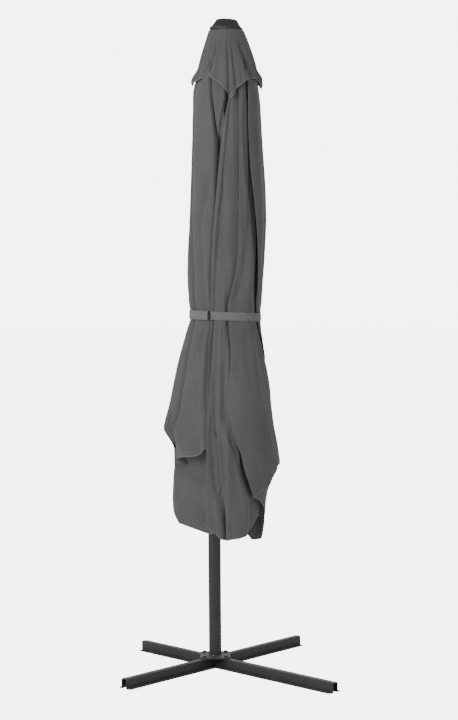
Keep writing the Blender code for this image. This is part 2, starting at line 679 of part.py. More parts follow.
def make_crank(holder):
    level = SLIDER_Z + CRANK_Z
    back = SLEEVE_RADIUS + GAP + CASE_DEPTH
    arm_front = back + 0.0015
    arm_back = arm_front + CRANK_THICK
    drum_front = SLEEVE_RADIUS + 0.006
    shaft = turned("y", [(SHAFT_RADIUS, drum_front - 0.003), (SHAFT_RADIUS, arm_back)], (0, level), SMALL_ROUND)
    finish("crank_shaft", shaft, holder, "pin_steel", 40)
    inner = SHAFT_RADIUS + GAP
    flange = 0.003
    drum_profile = [
        (DRUM_RADIUS, drum_front), (DRUM_RADIUS, drum_front + flange), (DRUM_RADIUS * 0.6, drum_front + flange),
        (DRUM_RADIUS * 0.6, drum_front + DRUM_LENGTH - flange), (DRUM_RADIUS, drum_front + DRUM_LENGTH - flange),
        (DRUM_RADIUS, drum_front + DRUM_LENGTH), (inner, drum_front + DRUM_LENGTH), (inner, drum_front),
    ]
    finish("cord_drum", turned("y", drum_profile, (0, level), ROUND, True), holder, "grey_plastic", 40)
    flat = stadium(0.011, (0, level), (0, level + CRANK_THROW))
    arm = finish("crank_arm", prism("y", flat, arm_front, arm_back), holder, "frame_steel", 40)
    bore = turned("y", [(inner, arm_front - 0.01), (inner, arm_back + 0.01)], (0, level), SMALL_ROUND)
    cut(arm, finish("crank_bore", bore, holder))
    pin_profile = [(0.0035, arm_back - 0.004), (0.0035, arm_back + KNOB_LENGTH + 0.001),
                   (0.006, arm_back + KNOB_LENGTH + 0.001), (0.005, arm_back + KNOB_LENGTH + 0.003)]
    pin = turned("y", pin_profile, (0, level + CRANK_THROW), SMALL_ROUND)
    join(arm, finish("knob_pin", pin, holder))


def make_knob(holder):
    level = SLIDER_Z + CRANK_Z + CRANK_THROW
    front = SLEEVE_RADIUS + CASE_DEPTH + 2 * GAP + 0.0015 + CRANK_THICK + 0.0005
    back = front + KNOB_LENGTH - 0.0005
    hole = 0.0035 + PIN_PLAY
    profile = [
        (hole, front), (KNOB_RADIUS * 0.75, front), (KNOB_RADIUS * 0.9, front + 0.004),
        (KNOB_RADIUS * 0.85, front + KNOB_LENGTH * 0.4), (KNOB_RADIUS, front + KNOB_LENGTH * 0.75),
        (KNOB_RADIUS * 0.85, back - 0.002), (KNOB_RADIUS * 0.6, back), (hole, back),
    ]
    finish("crank_knob", turned("y", profile, (0, level), ROUND, True), holder, "black_plastic", 40)


def make_trigger(holder):
    level = SLIDER_Z + TRIGGER_Z
    low_x = TRIGGER_X - TRIGGER_THICK / 2
    high_x = TRIGGER_X + TRIGGER_THICK / 2
    body = block((low_x, -TRIGGER_HALF_Y, level - TRIGGER_DOWN), (high_x, TRIGGER_HALF_Y, level + TRIGGER_UP))
    trigger = finish("lock_trigger", body, holder, "grip_rubber")
    bore_radius = TRIGGER_PIN_RADIUS + GAP
    bore = turned("y", [(bore_radius, -0.03), (bore_radius, 0.03)], (TRIGGER_X, level), SMALL_ROUND)
    slot = turned("x", [(LOCK_RADIUS * 2, low_x - 0.01), (LOCK_RADIUS * 2, high_x + 0.01)],
                  (0, level + LOCK_UP), SMALL_ROUND)
    cut(trigger, finish("trigger_hinge_bore", bore, holder), finish("trigger_slot", slot, holder))


def make_lock_pin(holder):
    level = SLIDER_Z + TRIGGER_Z + LOCK_UP
    tip = MAST_RADIUS + GAP
    head = TRIGGER_X + TRIGGER_THICK / 2 + LOCK_HEAD_CLEAR
    profile = [(LOCK_RADIUS * 0.7, tip), (LOCK_RADIUS, tip + 0.001), (LOCK_RADIUS, head), (LOCK_HEAD_RADIUS, head),
               (LOCK_HEAD_RADIUS, head + 0.002), (LOCK_HEAD_RADIUS * 0.8, head + 0.003)]
    finish("lock_pin", turned("x", profile, (0, level), SMALL_ROUND), holder, "pin_steel", 40)


# ---------------------------------------------------------------- canopy frame
def make_hanger(holder):
    arm_half_z = 0.015
    arm_low = (-HANGER_ARM_HALF_X, HUB_Y + POLE_RADIUS, HANGER_Z - arm_half_z)
    arm_high = (HANGER_ARM_HALF_X, LINK_Y - HANGER_FORK * 0.7, HANGER_Z + arm_half_z)
    hanger = finish("hub_hanger", block(arm_low, arm_high), holder, "frame_steel")
    fork_low = (-HANGER_HALF_X, LINK_Y - HANGER_FORK, HANGER_Z - arm_half_z)
    fork_high = (HANGER_HALF_X, LINK_Y, HANGER_Z + arm_half_z)
    ring_outer = POLE_RADIUS + 0.0055
    ring = turned("z", [(ring_outer, HANGER_Z - 0.022), (ring_outer, HANGER_Z + 0.022)], (0, HUB_Y))
    end_half = HANGER_HALF_X
    end = turned("x", [(arm_half_z, -end_half), (arm_half_z, end_half)], (LINK_Y, HANGER_Z))
    join(hanger, finish("hanger_fork", block(fork_low, fork_high), holder),
         finish("hanger_ring", ring, holder), finish("hanger_end", end, holder))
    room_half = PULLEY_HALF_X + 0.0007
    room_low = (-room_half, LINK_Y - PULLEY_RADIUS - 0.003, HANGER_Z - 0.03)
    room = block(room_low, (room_half, 0, HANGER_Z + 0.03))
    bore_radius = POLE_RADIUS + GAP
    bore = turned("z", [(bore_radius, HANGER_Z - 0.03), (bore_radius, HANGER_Z + 0.03)], (0, HUB_Y))
    cut(hanger, finish("pulley_room", room, holder), finish("pole_bore", bore, holder),
        hole_x("hanger_bore", holder, HOLE, (LINK_Y, HANGER_Z)))


def make_hub(holder):
    centre = (0, HUB_Y)
    hub_low = HUB_TOP_Z - HUB_HEIGHT
    pole_bottom = STRETCHER_TOP_Z - STRETCHER_LENGTH - POLE_SPARE
    pole_profile = tube_profile(POLE_RADIUS, POLE_RADIUS - POLE_WALL, pole_bottom, HUB_TOP_Z - 0.008)
    finish("hub_pole", turned("z", pole_profile, centre, ROUND, True), holder, "frame_steel", 40)
    pole_bore = POLE_RADIUS + GAP
    stud_bore = STUD_RADIUS + GAP
    hub_profile = [
        (pole_bore, hub_low), (HUB_RADIUS - 0.002, hub_low), (HUB_RADIUS, hub_low + 0.002),
        (HUB_RADIUS, HUB_TOP_Z - 0.002), (HUB_RADIUS - 0.002, HUB_TOP_Z), (stud_bore, HUB_TOP_Z),
        (stud_bore, HUB_TOP_Z - 0.0075), (pole_bore, HUB_TOP_Z - 0.0075),
    ]
    hub = finish("upper_hub", turned("z", hub_profile, centre, 32, True), holder, "black_plastic", 40)
    runner_top = STRETCHER_TOP_Z - STRETCHER_LENGTH + 0.012
    runner_profile = [
        (pole_bore, runner_top - RUNNER_HEIGHT), (RUNNER_RADIUS - 0.009, runner_top - RUNNER_HEIGHT),
        (RUNNER_RADIUS - 0.006, runner_top - RUNNER_HEIGHT * 0.5), (RUNNER_RADIUS, runner_top - RUNNER_HEIGHT * 0.4),
        (RUNNER_RADIUS, runner_top), (pole_bore, runner_top),
    ]
    runner = finish("runner", turned("z", runner_profile, centre, 32, True), holder, "black_plastic", 40)
    slot_half = RIB_WIDTH / 2 + GAP
    for i in range(RIB_COUNT):
        angle = math.tau * (i + 0.5) / RIB_COUNT
        rib_slot = block((RIB_RADIUS - RIB_DEPTH / 2 - 0.003, -slot_half, hub_low - 0.01),
                         (RIB_RADIUS + 0.03, slot_half, HUB_TOP_Z - 0.006))
        small_half = STRETCHER_WIDTH / 2 + GAP
        stretcher_slot = block((STRETCHER_RADIUS - STRETCHER_DEPTH / 2 - 0.0012, -small_half, runner_top - 0.018),
                               (STRETCHER_RADIUS + 0.03, small_half, runner_top + 0.01))
        for body, bm, name in ((hub, rib_slot, "rib_slot"), (runner, stretcher_slot, "stretcher_slot")):
            bmesh.ops.rotate(bm, verts=bm.verts, cent=(0, 0, 0), matrix=Matrix.Rotation(angle, 3, "Z"))
            bmesh.ops.translate(bm, verts=bm.verts, vec=(0, HUB_Y, 0))
            cut(body, finish(f"{name}_{i + 1}", bm, holder))


def square_tube(low, high, width, depth, angle):
    """Square tube between two (radius, height) points of the upright plane at an angle round the hub."""
    corners = ((-1, -1), (1, -1), (1, 1), (-1, 1))

    def ring(end, inset):
        radius, level = end
        half_u = depth / 2 - inset
        half_v = width / 2 - inset
        return [(radius + u * half_u, v * half_v, level) for u, v in corners]

    bm = loft([ring(low, 0), ring(high, 0), ring(high, RIB_WALL), ring(low, RIB_WALL)], closed_loop=True)
    bmesh.ops.rotate(bm, verts=bm.verts, cent=(0, 0, 0), matrix=Matrix.Rotation(angle, 3, "Z"))
    bmesh.ops.translate(bm, verts=bm.verts, vec=(0, HUB_Y, 0))
    return bm


def make_ribs(holder):
    top = HUB_TOP_Z - 0.008
    for i in range(RIB_COUNT):
        angle = math.tau * (i + 0.5) / RIB_COUNT
        length = CORNER_RIB if i % 2 == 0 else SIDE_RIB
        kind = "corner_rib" if i % 2 == 0 else "side_rib"
        foot = (RIB_RADIUS + length * math.sin(RIB_LEAN), top - length * math.cos(RIB_LEAN))
        rib = square_tube(foot, (RIB_RADIUS, top), RIB_WIDTH, RIB_DEPTH, angle)
        finish(f"{kind}_{i // 2 + 1}", rib, holder, "frame_steel")
        rib_there = RIB_RADIUS + (top - STRETCHER_TOP_Z) * math.tan(RIB_LEAN)
        lean = rib_there - (RIB_DEPTH + STRETCHER_DEPTH) / 2 - STRETCHER_CLEAR
        low = (STRETCHER_RADIUS, STRETCHER_TOP_Z - STRETCHER_LENGTH)
        stretcher = square_tube(low, (lean, STRETCHER_TOP_Z), STRETCHER_WIDTH, STRETCHER_DEPTH, angle)
        finish(f"stretcher_{i + 1}", stretcher, holder, "frame_steel")


def make_cap(holder):
    rim_top = CAP_RIM_Z + CAP_RIM_HEIGHT
    mid = (rim_top + CAP_TOP_Z) / 2
    under = CAP_TOP_Z - CAP_WALL
    shell = CAP_RIM_RADIUS - CAP_WALL
    profile = [
        (STUD_RADIUS, HUB_TOP_Z - 0.006), (STUD_RADIUS, under), (CAP_TOP_RADIUS - CAP_WALL, under),
        (shell, rim_top - CAP_WALL), (shell, CAP_RIM_Z), (CAP_RIM_RADIUS, CAP_RIM_Z), (CAP_RIM_RADIUS, rim_top),
        (CAP_RIM_RADIUS - CAP_WALL, rim_top + 0.001), (CAP_TOP_RADIUS + CAP_STEP, mid),
        (CAP_TOP_RADIUS + CAP_STEP - 0.003, mid + 0.001),
        (CAP_TOP_RADIUS, CAP_TOP_Z - 0.0015), (CAP_TOP_RADIUS - 0.0015, CAP_TOP_Z),
    ]
    finish("crown_cap", turned("z", profile, (0, HUB_Y), 32), holder, "black_plastic", 40)


# ---------------------------------------------------------------- canopy fabric
def reach(level, angle, back):
    """Distance from the hub's axis to the fabric, in the direction of an angle round it."""
    _, left, right, front = level
    across = right if math.cos(angle) > 0 else left
    depth = back if math.sin(angle) > 0 else front
    return across * depth / math.hypot(depth * math.cos(angle), across * math.sin(angle))


def fabric_shell(levels, wall, back, slit, steps=28, panel=0, panels=1):
    """Upright panel of a shell about the hub, or the whole shell; a slit parts it towards the boom."""
    bm = bmesh.new()
    grid = []
    for level in levels:
        rear = min(back, level[3])
        open_angle = math.asin(slit / (rear - wall))
        seam = GAP / (2 * (rear - wall))
        start = math.pi / 2 + math.tau * panel / panels + (open_angle if panel == 0 else seam)
        stop = math.pi / 2 + math.tau * (panel + 1) / panels - (open_angle if panel == panels - 1 else seam)
        outer = []
        inner = []
        for i in range(steps + 1):
            angle = start + (stop - start) * i / steps
            far = reach(level, angle, rear)
            near = far - wall
            outer.append(bm.verts.new((far * math.cos(angle), HUB_Y + far * math.sin(angle), level[0])))
            inner.append(bm.verts.new((near * math.cos(angle), HUB_Y + near * math.sin(angle), level[0])))
        grid.append((outer, inner))
    for (upper_out, upper_in), (lower_out, lower_in) in zip(grid, grid[1:]):
        for i in range(steps):
            bm.faces.new((upper_out[i], upper_out[i + 1], lower_out[i + 1], lower_out[i]))
            bm.faces.new((upper_in[i + 1], upper_in[i], lower_in[i], lower_in[i + 1]))
        if panels > 1:
            bm.faces.new((upper_in[0], upper_out[0], lower_out[0], lower_in[0]))
            bm.faces.new((upper_out[-1], upper_in[-1], lower_in[-1], lower_out[-1]))
    for outer, inner in (grid[0], grid[-1]):
        for i in range(steps):
            bm.faces.new((outer[i], outer[i + 1], inner[i + 1], inner[i]))
    return bm


def placed_levels(levels):
    """Levels at their heights; what hangs below the hanger stretches with the ribs."""
    hanger_drop = HUB_TOP_Z - HANGER_Z
    placed = []
    for drop, *sides in levels:
        if drop > hanger_drop + GAP:
            drop = drop * CANOPY_STRETCH
        placed.append((HUB_TOP_Z - drop, *sides))
    return placed


def sides_at(levels, height):
    """The fabric's reaches at a height, straight between its levels."""
    for upper, lower in zip(levels, levels[1:]):
        if upper[0] >= height >= lower[0]:
            share = (upper[0] - height) / (upper[0] - lower[0])
            return [a + (b - a) * share for a, b in zip(upper[1:], lower[1:])]
    return levels[-1][1:]


def make_fabric(holder):
    levels = placed_levels(CANOPY_LEVELS)
    for i in range(CANOPY_PANELS):
        panel = fabric_shell(levels, CANOPY_WALL, CANOPY_BACK, CANOPY_SLIT, PANEL_STEPS, i, CANOPY_PANELS)
        finish(f"canopy_panel_{i + 1}", panel, holder, "canopy_fabric", 50)
    vent_back = CANOPY_BACK + VENT_WALL * 2
    vent = fabric_shell(placed_levels(VENT_LEVELS), VENT_WALL, vent_back, 0.0)
    finish("canopy_vent", vent, holder, "canopy_fabric", 50)
    out = STRAP_OFF + STRAP_THICK
    strap_top = HUB_TOP_Z - STRAP_DROP * CANOPY_STRETCH + STRAP_HEIGHT / 2
    strap_bottom = strap_top - STRAP_HEIGHT
    sides = [max(pair) + out for pair in zip(sides_at(levels, strap_top), sides_at(levels, strap_bottom))]
    strap = fabric_shell(((strap_top, *sides), (strap_bottom, *sides)), STRAP_THICK, CANOPY_BACK + out, 0.0)
    finish("canopy_strap", strap, holder, "strap_webbing", 50)


# ---------------------------------------------------------------- assembly
def footprint_centre():
    """Middle of the base's box in plan, with the mast at zero."""
    corners = bar_corners(ARM_FRONT_RIGHT, ARM_REAR_LEFT, -math.pi / 4)
    corners += bar_corners(ARM_FRONT_LEFT, ARM_REAR_RIGHT, -3 * math.pi / 4)
    return tuple((min(c[i] for c in corners) + max(c[i] for c in corners)) / 2 for i in (0, 1))


def main():
    clear_scene()
    centre = footprint_centre()
    stand = pivot("stand", location=(-centre[0], -centre[1], 0))
    stand["place"] = (0, 0, 0)
    make_base(stand)
    make_foot(stand)
    plane = pivot("boom_plane", stand, turn=BOOM_TURN)
    make_mast(plane)
    make_mast_head(plane)
    strut = pivot("strut_pivot", plane, (0, LINK_Y, STRUT_PIVOT_Z))
    make_strut(strut)
    boom = pivot("boom_pivot", strut, (0, LINK_Y, KNEE_Z))
    make_boom(boom)
    make_pulley(pivot("pulley_pivot", boom, (0, LINK_Y, HANGER_Z)))
    slider = pivot("slider_pivot", boom, (0, LINK_Y, SLIDER_Z))
    make_slider(slider)
    make_crank_case(slider)
    crank = pivot("crank_pivot", slider, (0, 0, SLIDER_Z + CRANK_Z))
    make_crank(crank)
    make_knob(pivot("knob_pivot", crank, (0, 0, SLIDER_Z + CRANK_Z + CRANK_THROW)))
    make_trigger(pivot("trigger_pivot", slider, (TRIGGER_X, 0, SLIDER_Z + TRIGGER_Z)))
    make_lock_pin(pivot("lock_line", slider, (0, 0, SLIDER_Z + TRIGGER_Z + LOCK_UP)))
    hanger = pivot("canopy_pivot", boom, (0, LINK_Y, HANGER_Z))
    make_hanger(hanger)
    make_hub(hanger)
    make_ribs(hanger)
    make_cap(hanger)
    make_fabric(hanger)


main()
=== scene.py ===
"""Looks of the folded cantilever parasol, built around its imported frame. Metres, +Z up."""

import json
import math

import bmesh
import bpy
from mathutils import Matrix, Vector, noise


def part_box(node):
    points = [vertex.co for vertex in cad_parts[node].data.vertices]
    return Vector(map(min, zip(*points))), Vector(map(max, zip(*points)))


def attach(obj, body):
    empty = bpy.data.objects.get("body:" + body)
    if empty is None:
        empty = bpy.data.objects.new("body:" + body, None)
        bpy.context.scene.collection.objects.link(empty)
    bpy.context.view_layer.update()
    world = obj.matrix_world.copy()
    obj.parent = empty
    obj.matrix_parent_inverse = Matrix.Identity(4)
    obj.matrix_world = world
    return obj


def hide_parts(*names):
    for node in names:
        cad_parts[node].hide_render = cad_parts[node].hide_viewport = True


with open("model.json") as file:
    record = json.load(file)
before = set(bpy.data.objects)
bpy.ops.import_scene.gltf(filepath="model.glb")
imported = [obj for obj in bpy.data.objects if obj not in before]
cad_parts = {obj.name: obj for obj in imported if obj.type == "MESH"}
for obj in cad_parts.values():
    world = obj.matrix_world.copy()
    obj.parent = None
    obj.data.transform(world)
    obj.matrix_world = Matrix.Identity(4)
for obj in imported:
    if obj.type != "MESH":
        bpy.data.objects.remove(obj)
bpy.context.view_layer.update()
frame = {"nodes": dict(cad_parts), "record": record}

NODES = frame["nodes"]

# ---------------------------------------------------------------- places from the frame
mast_low, mast_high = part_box("mast_lower")
cap_low, cap_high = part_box("crown_cap")
strap_low, strap_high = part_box("canopy_strap")
hub_low, hub_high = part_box("upper_hub")
hanger_low, hanger_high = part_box("hub_hanger")
MAST = Vector(((mast_low.x + mast_high.x) / 2, (mast_low.y + mast_high.y) / 2, 0))
HUB = Vector(((hub_low.x + hub_high.x) / 2, (hub_low.y + hub_high.y) / 2, 0))
HUB_TOP = hub_high.z
CAP_TOP = cap_high.z
STRAP_Z = (strap_low.z + strap_high.z) / 2
TO_MAST = math.atan2(MAST.x - HUB.x, HUB.y - MAST.y)   # bearing of the mast from the hub, 0 at the front

# ---------------------------------------------------------------- camera
CAMERA_LENS = 81.1
CAMERA_FROM_MAST = Vector((-0.0647, -6.145, 1.500))
CAMERA_TURN = -0.0203
CAMERA_PITCH = -0.0533
CAMERA_ROLL = -0.0066
PAPER = 6.0                  # brightness of the blank backdrop
AMBIENT = 0.62
FLOOR_RADIUS = 40
FLOOR_GAP = 0.0005           # keeps the floor just under the base's flanges
FLOOR_GLOW = 0.96            # share of the blank backdrop's brightness in what the camera sees of the floor


def make_camera():
    """Standing eye level, a little to the left of the mast."""
    data = bpy.data.cameras.new("camera")
    data.lens = CAMERA_LENS
    data.sensor_width = 36
    data.clip_end = 100
    camera = bpy.data.objects.new("camera", data)
    bpy.context.scene.collection.objects.link(camera)
    spin = Matrix.Rotation(CAMERA_TURN, 3, "Z")
    tilt = Matrix.Rotation(math.pi / 2 + CAMERA_PITCH, 3, "X")
    roll = Matrix.Rotation(CAMERA_ROLL, 3, "Z")
    camera.matrix_world = Matrix.Translation(MAST + CAMERA_FROM_MAST) @ (spin @ tilt @ roll).to_4x4()
    bpy.context.scene.camera = camera


# ---------------------------------------------------------------- lights and floor
def make_light(name, place, target, size, watts, colour=(1, 1, 1)):
    """Soft rectangular light aimed at a point."""
    data = bpy.data.lights.new(name, "AREA")
    data.shape = "RECTANGLE"
    data.size = size[0]
    data.size_y = size[1]
    data.energy = watts
    data.color = colour
    light = bpy.data.objects.new(name, data)
    bpy.context.scene.collection.objects.link(light)
    light.location = place
    light.rotation_euler = (Vector(target) - Vector(place)).to_track_quat("-Z", "Y").to_euler()


def make_stage():
    """Blank pale surroundings, three soft lights and a pale floor."""
    world = bpy.data.worlds.new("studio")
    world.use_nodes = True
    tree = world.node_tree
    ambient = tree.nodes["Background"]
    ambient.inputs["Color"].default_value = (1.0, 1.0, 1.0, 1)
    ambient.inputs["Strength"].default_value = AMBIENT
    seen = tree.nodes.new("ShaderNodeBackground")
    seen.inputs["Color"].default_value = (1.0, 1.0, 1.0, 1)
    seen.inputs["Strength"].default_value = PAPER
    path = tree.nodes.new("ShaderNodeLightPath")
    blend = tree.nodes.new("ShaderNodeMixShader")
    tree.links.new(path.outputs["Is Camera Ray"], blend.inputs["Fac"])
    tree.links.new(ambient.outputs[0], blend.inputs[1])
    tree.links.new(seen.outputs[0], blend.inputs[2])
    tree.links.new(blend.outputs[0], tree.nodes["World Output"].inputs["Surface"])
    bpy.context.scene.world = world
    make_light("key", (-3.6, -4.0, 3.4), (0, 0, 1.3), (1.8, 2.4), 260, (1.0, 0.995, 0.98))
    make_light("fill", (3.6, -3.4, 2.2), (0, 0, 1.2), (2.5, 3.0), 26, (0.97, 0.985, 1.0))
    make_light("back", (1.5, 4.2, 3.4), (0, 0, 1.4), (3.0, 2.0), 50)
    bpy.ops.mesh.primitive_circle_add(
        vertices=96, radius=FLOOR_RADIUS, fill_type="NGON", location=(0, 0, -FLOOR_GAP))
    floor = bpy.context.object
    floor.name = "floor"
    material = bpy.data.materials.new("floor")
    material.use_nodes = True
    tree = material.node_tree
    shader = tree.nodes["Principled BSDF"]
    shader.inputs["Base Color"].default_value = (0.93, 0.93, 0.93, 1)
    shader.inputs["Roughness"].default_value = 0.9
    glow = tree.nodes.new("ShaderNodeEmission")
    glow.inputs["Strength"].default_value = PAPER
    path = tree.nodes.new("ShaderNodeLightPath")
    blend = tree.nodes.new("ShaderNodeMixShader")
    share = tree.nodes.new("ShaderNodeMath")
    share.operation = "MULTIPLY"
    share.inputs[1].default_value = FLOOR_GLOW
    tree.links.new(path.outputs["Is Camera Ray"], share.inputs[0])
    tree.links.new(share.outputs[0], blend.inputs["Fac"])
    tree.links.new(shader.outputs[0], blend.inputs[1])
    tree.links.new(glow.outputs[0], blend.inputs[2])
    tree.links.new(blend.outputs[0], tree.nodes["Material Output"].inputs["Surface"])
    floor.data.materials.append(material)


# ---------------------------------------------------------------- node materials
class Nodes:
    """Short names for building one material's node tree."""

    def __init__(self, name):
        self.material = bpy.data.materials.new(name)
        self.material.use_nodes = True
        self.tree = self.material.node_tree
        self.shader = self.tree.nodes["Principled BSDF"]
        self.place = self.add("ShaderNodeTexCoord").outputs["Object"]

    def add(self, kind, **settings):
        node = self.tree.nodes.new(kind)
        for key, value in settings.items():
            setattr(node, key, value)
        return node

    def feed(self, socket, value):
        if isinstance(value, bpy.types.NodeSocket):
            self.tree.links.new(value, socket)
        else:
            socket.default_value = value

    def math(self, operation, a, b=0.0, c=None):
        node = self.add("ShaderNodeMath", operation=operation)
        self.feed(node.inputs[0], a)
        self.feed(node.inputs[1], b)
        if c is not None:
            self.feed(node.inputs[2], c)
        return node.outputs[0]

    def noise(self, scale, detail=3.0, rough=0.55, vector=None):
        node = self.add("ShaderNodeTexNoise")
        self.feed(node.inputs["Vector"], vector or self.place)
        node.inputs["Scale"].default_value = scale
        node.inputs["Detail"].default_value = detail
        node.inputs["Roughness"].default_value = rough
        return node.outputs["Fac"]

    def stretched(self, scale):
        node = self.add("ShaderNodeMapping")
        self.feed(node.inputs["Vector"], self.place)
        node.inputs["Scale"].default_value = scale
        return node.outputs["Vector"]

    def ramp(self, value, low, high, to_low=0.0, to_high=1.0):
        node = self.add("ShaderNodeMapRange", interpolation_type="SMOOTHSTEP")
        self.feed(node.inputs["Value"], value)
        for key, number in (("From Min", low), ("From Max", high), ("To Min", to_low), ("To Max", to_high)):
            node.inputs[key].default_value = number
        return node.outputs["Result"]

    def mix(self, factor, a, b):
        node = self.add("ShaderNodeMix", data_type="RGBA")
        self.feed(node.inputs["Factor"], factor)
        self.feed(node.inputs["A"], a)
        self.feed(node.inputs["B"], b)
        return node.outputs["Result"]

    def bump(self, height, distance, strength=1.0, under=None):
        node = self.add("ShaderNodeBump")
        node.inputs["Strength"].default_value = strength
        node.inputs["Distance"].default_value = distance
        self.feed(node.inputs["Height"], height)
        if under is not None:
            self.feed(node.inputs["Normal"], under)
        return node.outputs["Normal"]

    def attribute(self, name):
        return self.add("ShaderNodeAttribute", attribute_name=name)


def shade(colour, factor):
    return (colour[0] * factor, colour[1] * factor, colour[2] * factor, 1.0)


def coated_steel(name, colour, roughness=0.45, metallic=0.35):
    """Powder coat: orange peel, slow blotches, rubbed patches and dust on what faces up."""
    n = Nodes(name)
    blotch = n.ramp(n.noise(7.0, 4.0), 0.35, 0.68)
    rubbed = n.ramp(n.noise(38.0, 6.0, 0.7), 0.60, 0.74)
    base = n.mix(blotch, shade(colour, 0.86), shade(colour, 1.14))
    base = n.mix(n.math("MULTIPLY", rubbed, 0.35), base, shade(colour, 1.9))
    up = n.add("ShaderNodeSeparateXYZ")
    n.feed(up.inputs[0], n.add("ShaderNodeNewGeometry").outputs["Normal"])
    facing_up = n.ramp(up.outputs["Z"], 0.55, 1.0)
    dust = n.math("MULTIPLY", facing_up, n.ramp(n.noise(55.0, 5.0), 0.35, 0.75, 0.15, 0.6))
    base = n.mix(dust, base, DUST)
    n.feed(n.shader.inputs["Base Color"], base)
    dusty = n.math("MULTIPLY_ADD", dust, 0.25, roughness - 0.04)
    rough = n.math("ADD", n.math("MULTIPLY", blotch, 0.10), dusty)
    n.feed(n.shader.inputs["Roughness"], rough)
    n.shader.inputs["Metallic"].default_value = metallic
    peel = n.bump(n.noise(620.0, 2.0), 0.00012, 0.55)
    n.feed(n.shader.inputs["Normal"], n.bump(n.noise(45.0, 3.0), 0.0003, 0.25, peel))
    return n.material


def plated_steel(name, colour, roughness=0.32):
    """Zinc plate with fine streaks across its length."""
    n = Nodes(name)
    streak = n.noise(1.0, 5.0, 0.6, n.stretched((260.0, 260.0, 2400.0)))
    n.feed(n.shader.inputs["Base Color"], n.mix(streak, shade(colour, 0.75), shade(colour, 1.1)))
    n.feed(n.shader.inputs["Roughness"], n.ramp(n.noise(90.0, 4.0), 0.3, 0.7, roughness, roughness + 0.22))
    n.shader.inputs["Metallic"].default_value = 1.0
    n.feed(n.shader.inputs["Normal"], n.bump(streak, 0.00008, 0.5))
    return n.material


def moulded_plastic(name, colour, roughness=0.5, grain=900.0):
    """Moulded plastic: spark-eroded grain, faint flow marks and a rubbed sheen."""
    n = Nodes(name)
    flow = n.noise(1.0, 4.0, 0.6, n.stretched((25.0, 25.0, 70.0)))
    n.feed(n.shader.inputs["Base Color"], n.mix(flow, shade(colour, 0.8), shade(colour, 1.35)))
    rubbed = n.noise(60.0, 5.0)
    n.feed(n.shader.inputs["Roughness"], n.ramp(rubbed, 0.3, 0.7, roughness - 0.08, roughness + 0.12))
    n.feed(n.shader.inputs["Normal"], n.bump(n.noise(grain, 3.0, 0.7), 0.00015, 0.6))
    return n.material


def woven(name, colour, light_edge, thread=0.0016, slack=1.0):
    """Woven polyester: over-and-under threads along the cloth, cloudy fading, a stitched hem."""
    n = Nodes(name)
    cloth = n.add("ShaderNodeSeparateXYZ")
    n.feed(cloth.inputs[0], n.attribute("cloth").outputs["Vector"])
    across, down = cloth.outputs["X"], cloth.outputs["Y"]
    hem = n.attribute("hem").outputs["Fac"]
    pitch = math.tau / thread
    warp = n.math("SINE", n.math("MULTIPLY", across, pitch))
    weft = n.math("SINE", n.math("MULTIPLY", down, pitch))
    weave = n.math("MULTIPLY_ADD", n.math("MULTIPLY", warp, weft), 0.5, 0.5)
    cloud = n.ramp(n.noise(3.2, 5.0, 0.6), 0.30, 0.72)
    slub = n.noise(1.0, 3.0, 0.6, n.stretched((420.0, 420.0, 60.0)))
    base = n.mix(cloud, shade(colour, 0.86), shade(colour, 1.12))
    base = n.mix(n.math("MULTIPLY", weave, 0.35), base, shade(colour, 0.62))
    base = n.mix(n.ramp(slub, 0.45, 0.8, 0.0, 0.35), base, shade(colour, 1.45))
    edge = n.math("SUBTRACT", 1.0, n.ramp(hem, 0.0025, 0.0055))
    base = n.mix(n.math("MULTIPLY", edge, 0.6), base, shade(light_edge, 1.0))
    line = n.math("SUBTRACT", 1.0, n.ramp(n.math("ABSOLUTE", n.math("SUBTRACT", hem, 0.017)), 0.0006, 0.0013))
    dash = n.ramp(n.math("SINE", n.math("MULTIPLY", across, math.tau / 0.0045)), -0.3, 0.2)
    stitch = n.math("MULTIPLY", line, dash)
    base = n.mix(n.math("MULTIPLY", stitch, 0.22), base, shade(light_edge, 1.25))
    n.feed(n.shader.inputs["Base Color"], base)
    n.feed(n.shader.inputs["Roughness"], n.ramp(weave, 0.0, 1.0, 0.82, 0.94))
    n.shader.inputs["Sheen Weight"].default_value = 0.12
    n.shader.inputs["Sheen Roughness"].default_value = 0.5
    n.shader.inputs["Specular IOR Level"].default_value = 0.3
    crumple = n.noise(1.0, 5.0, 0.62, n.stretched((34.0, 34.0, 11.0)))
    normal = n.bump(crumple, 0.0024 * slack, 0.5)
    fold_line = n.ramp(hem, 0.015, 0.019)
    normal = n.bump(fold_line, 0.0006, 0.6, normal)
    normal = n.bump(stitch, 0.0004, 0.6, normal)
    n.feed(n.shader.inputs["Normal"], n.bump(weave, 0.0002, 0.5, normal))
    return n.material


STEEL = (0.030, 0.0303, 0.031)
PLASTIC = (0.012, 0.012, 0.0125)
FABRIC = (0.078, 0.078, 0.079)
FABRIC_EDGE = (0.14, 0.14, 0.14)
WEBBING = (0.125, 0.125, 0.126)
DUST = (0.20, 0.195, 0.185, 1)

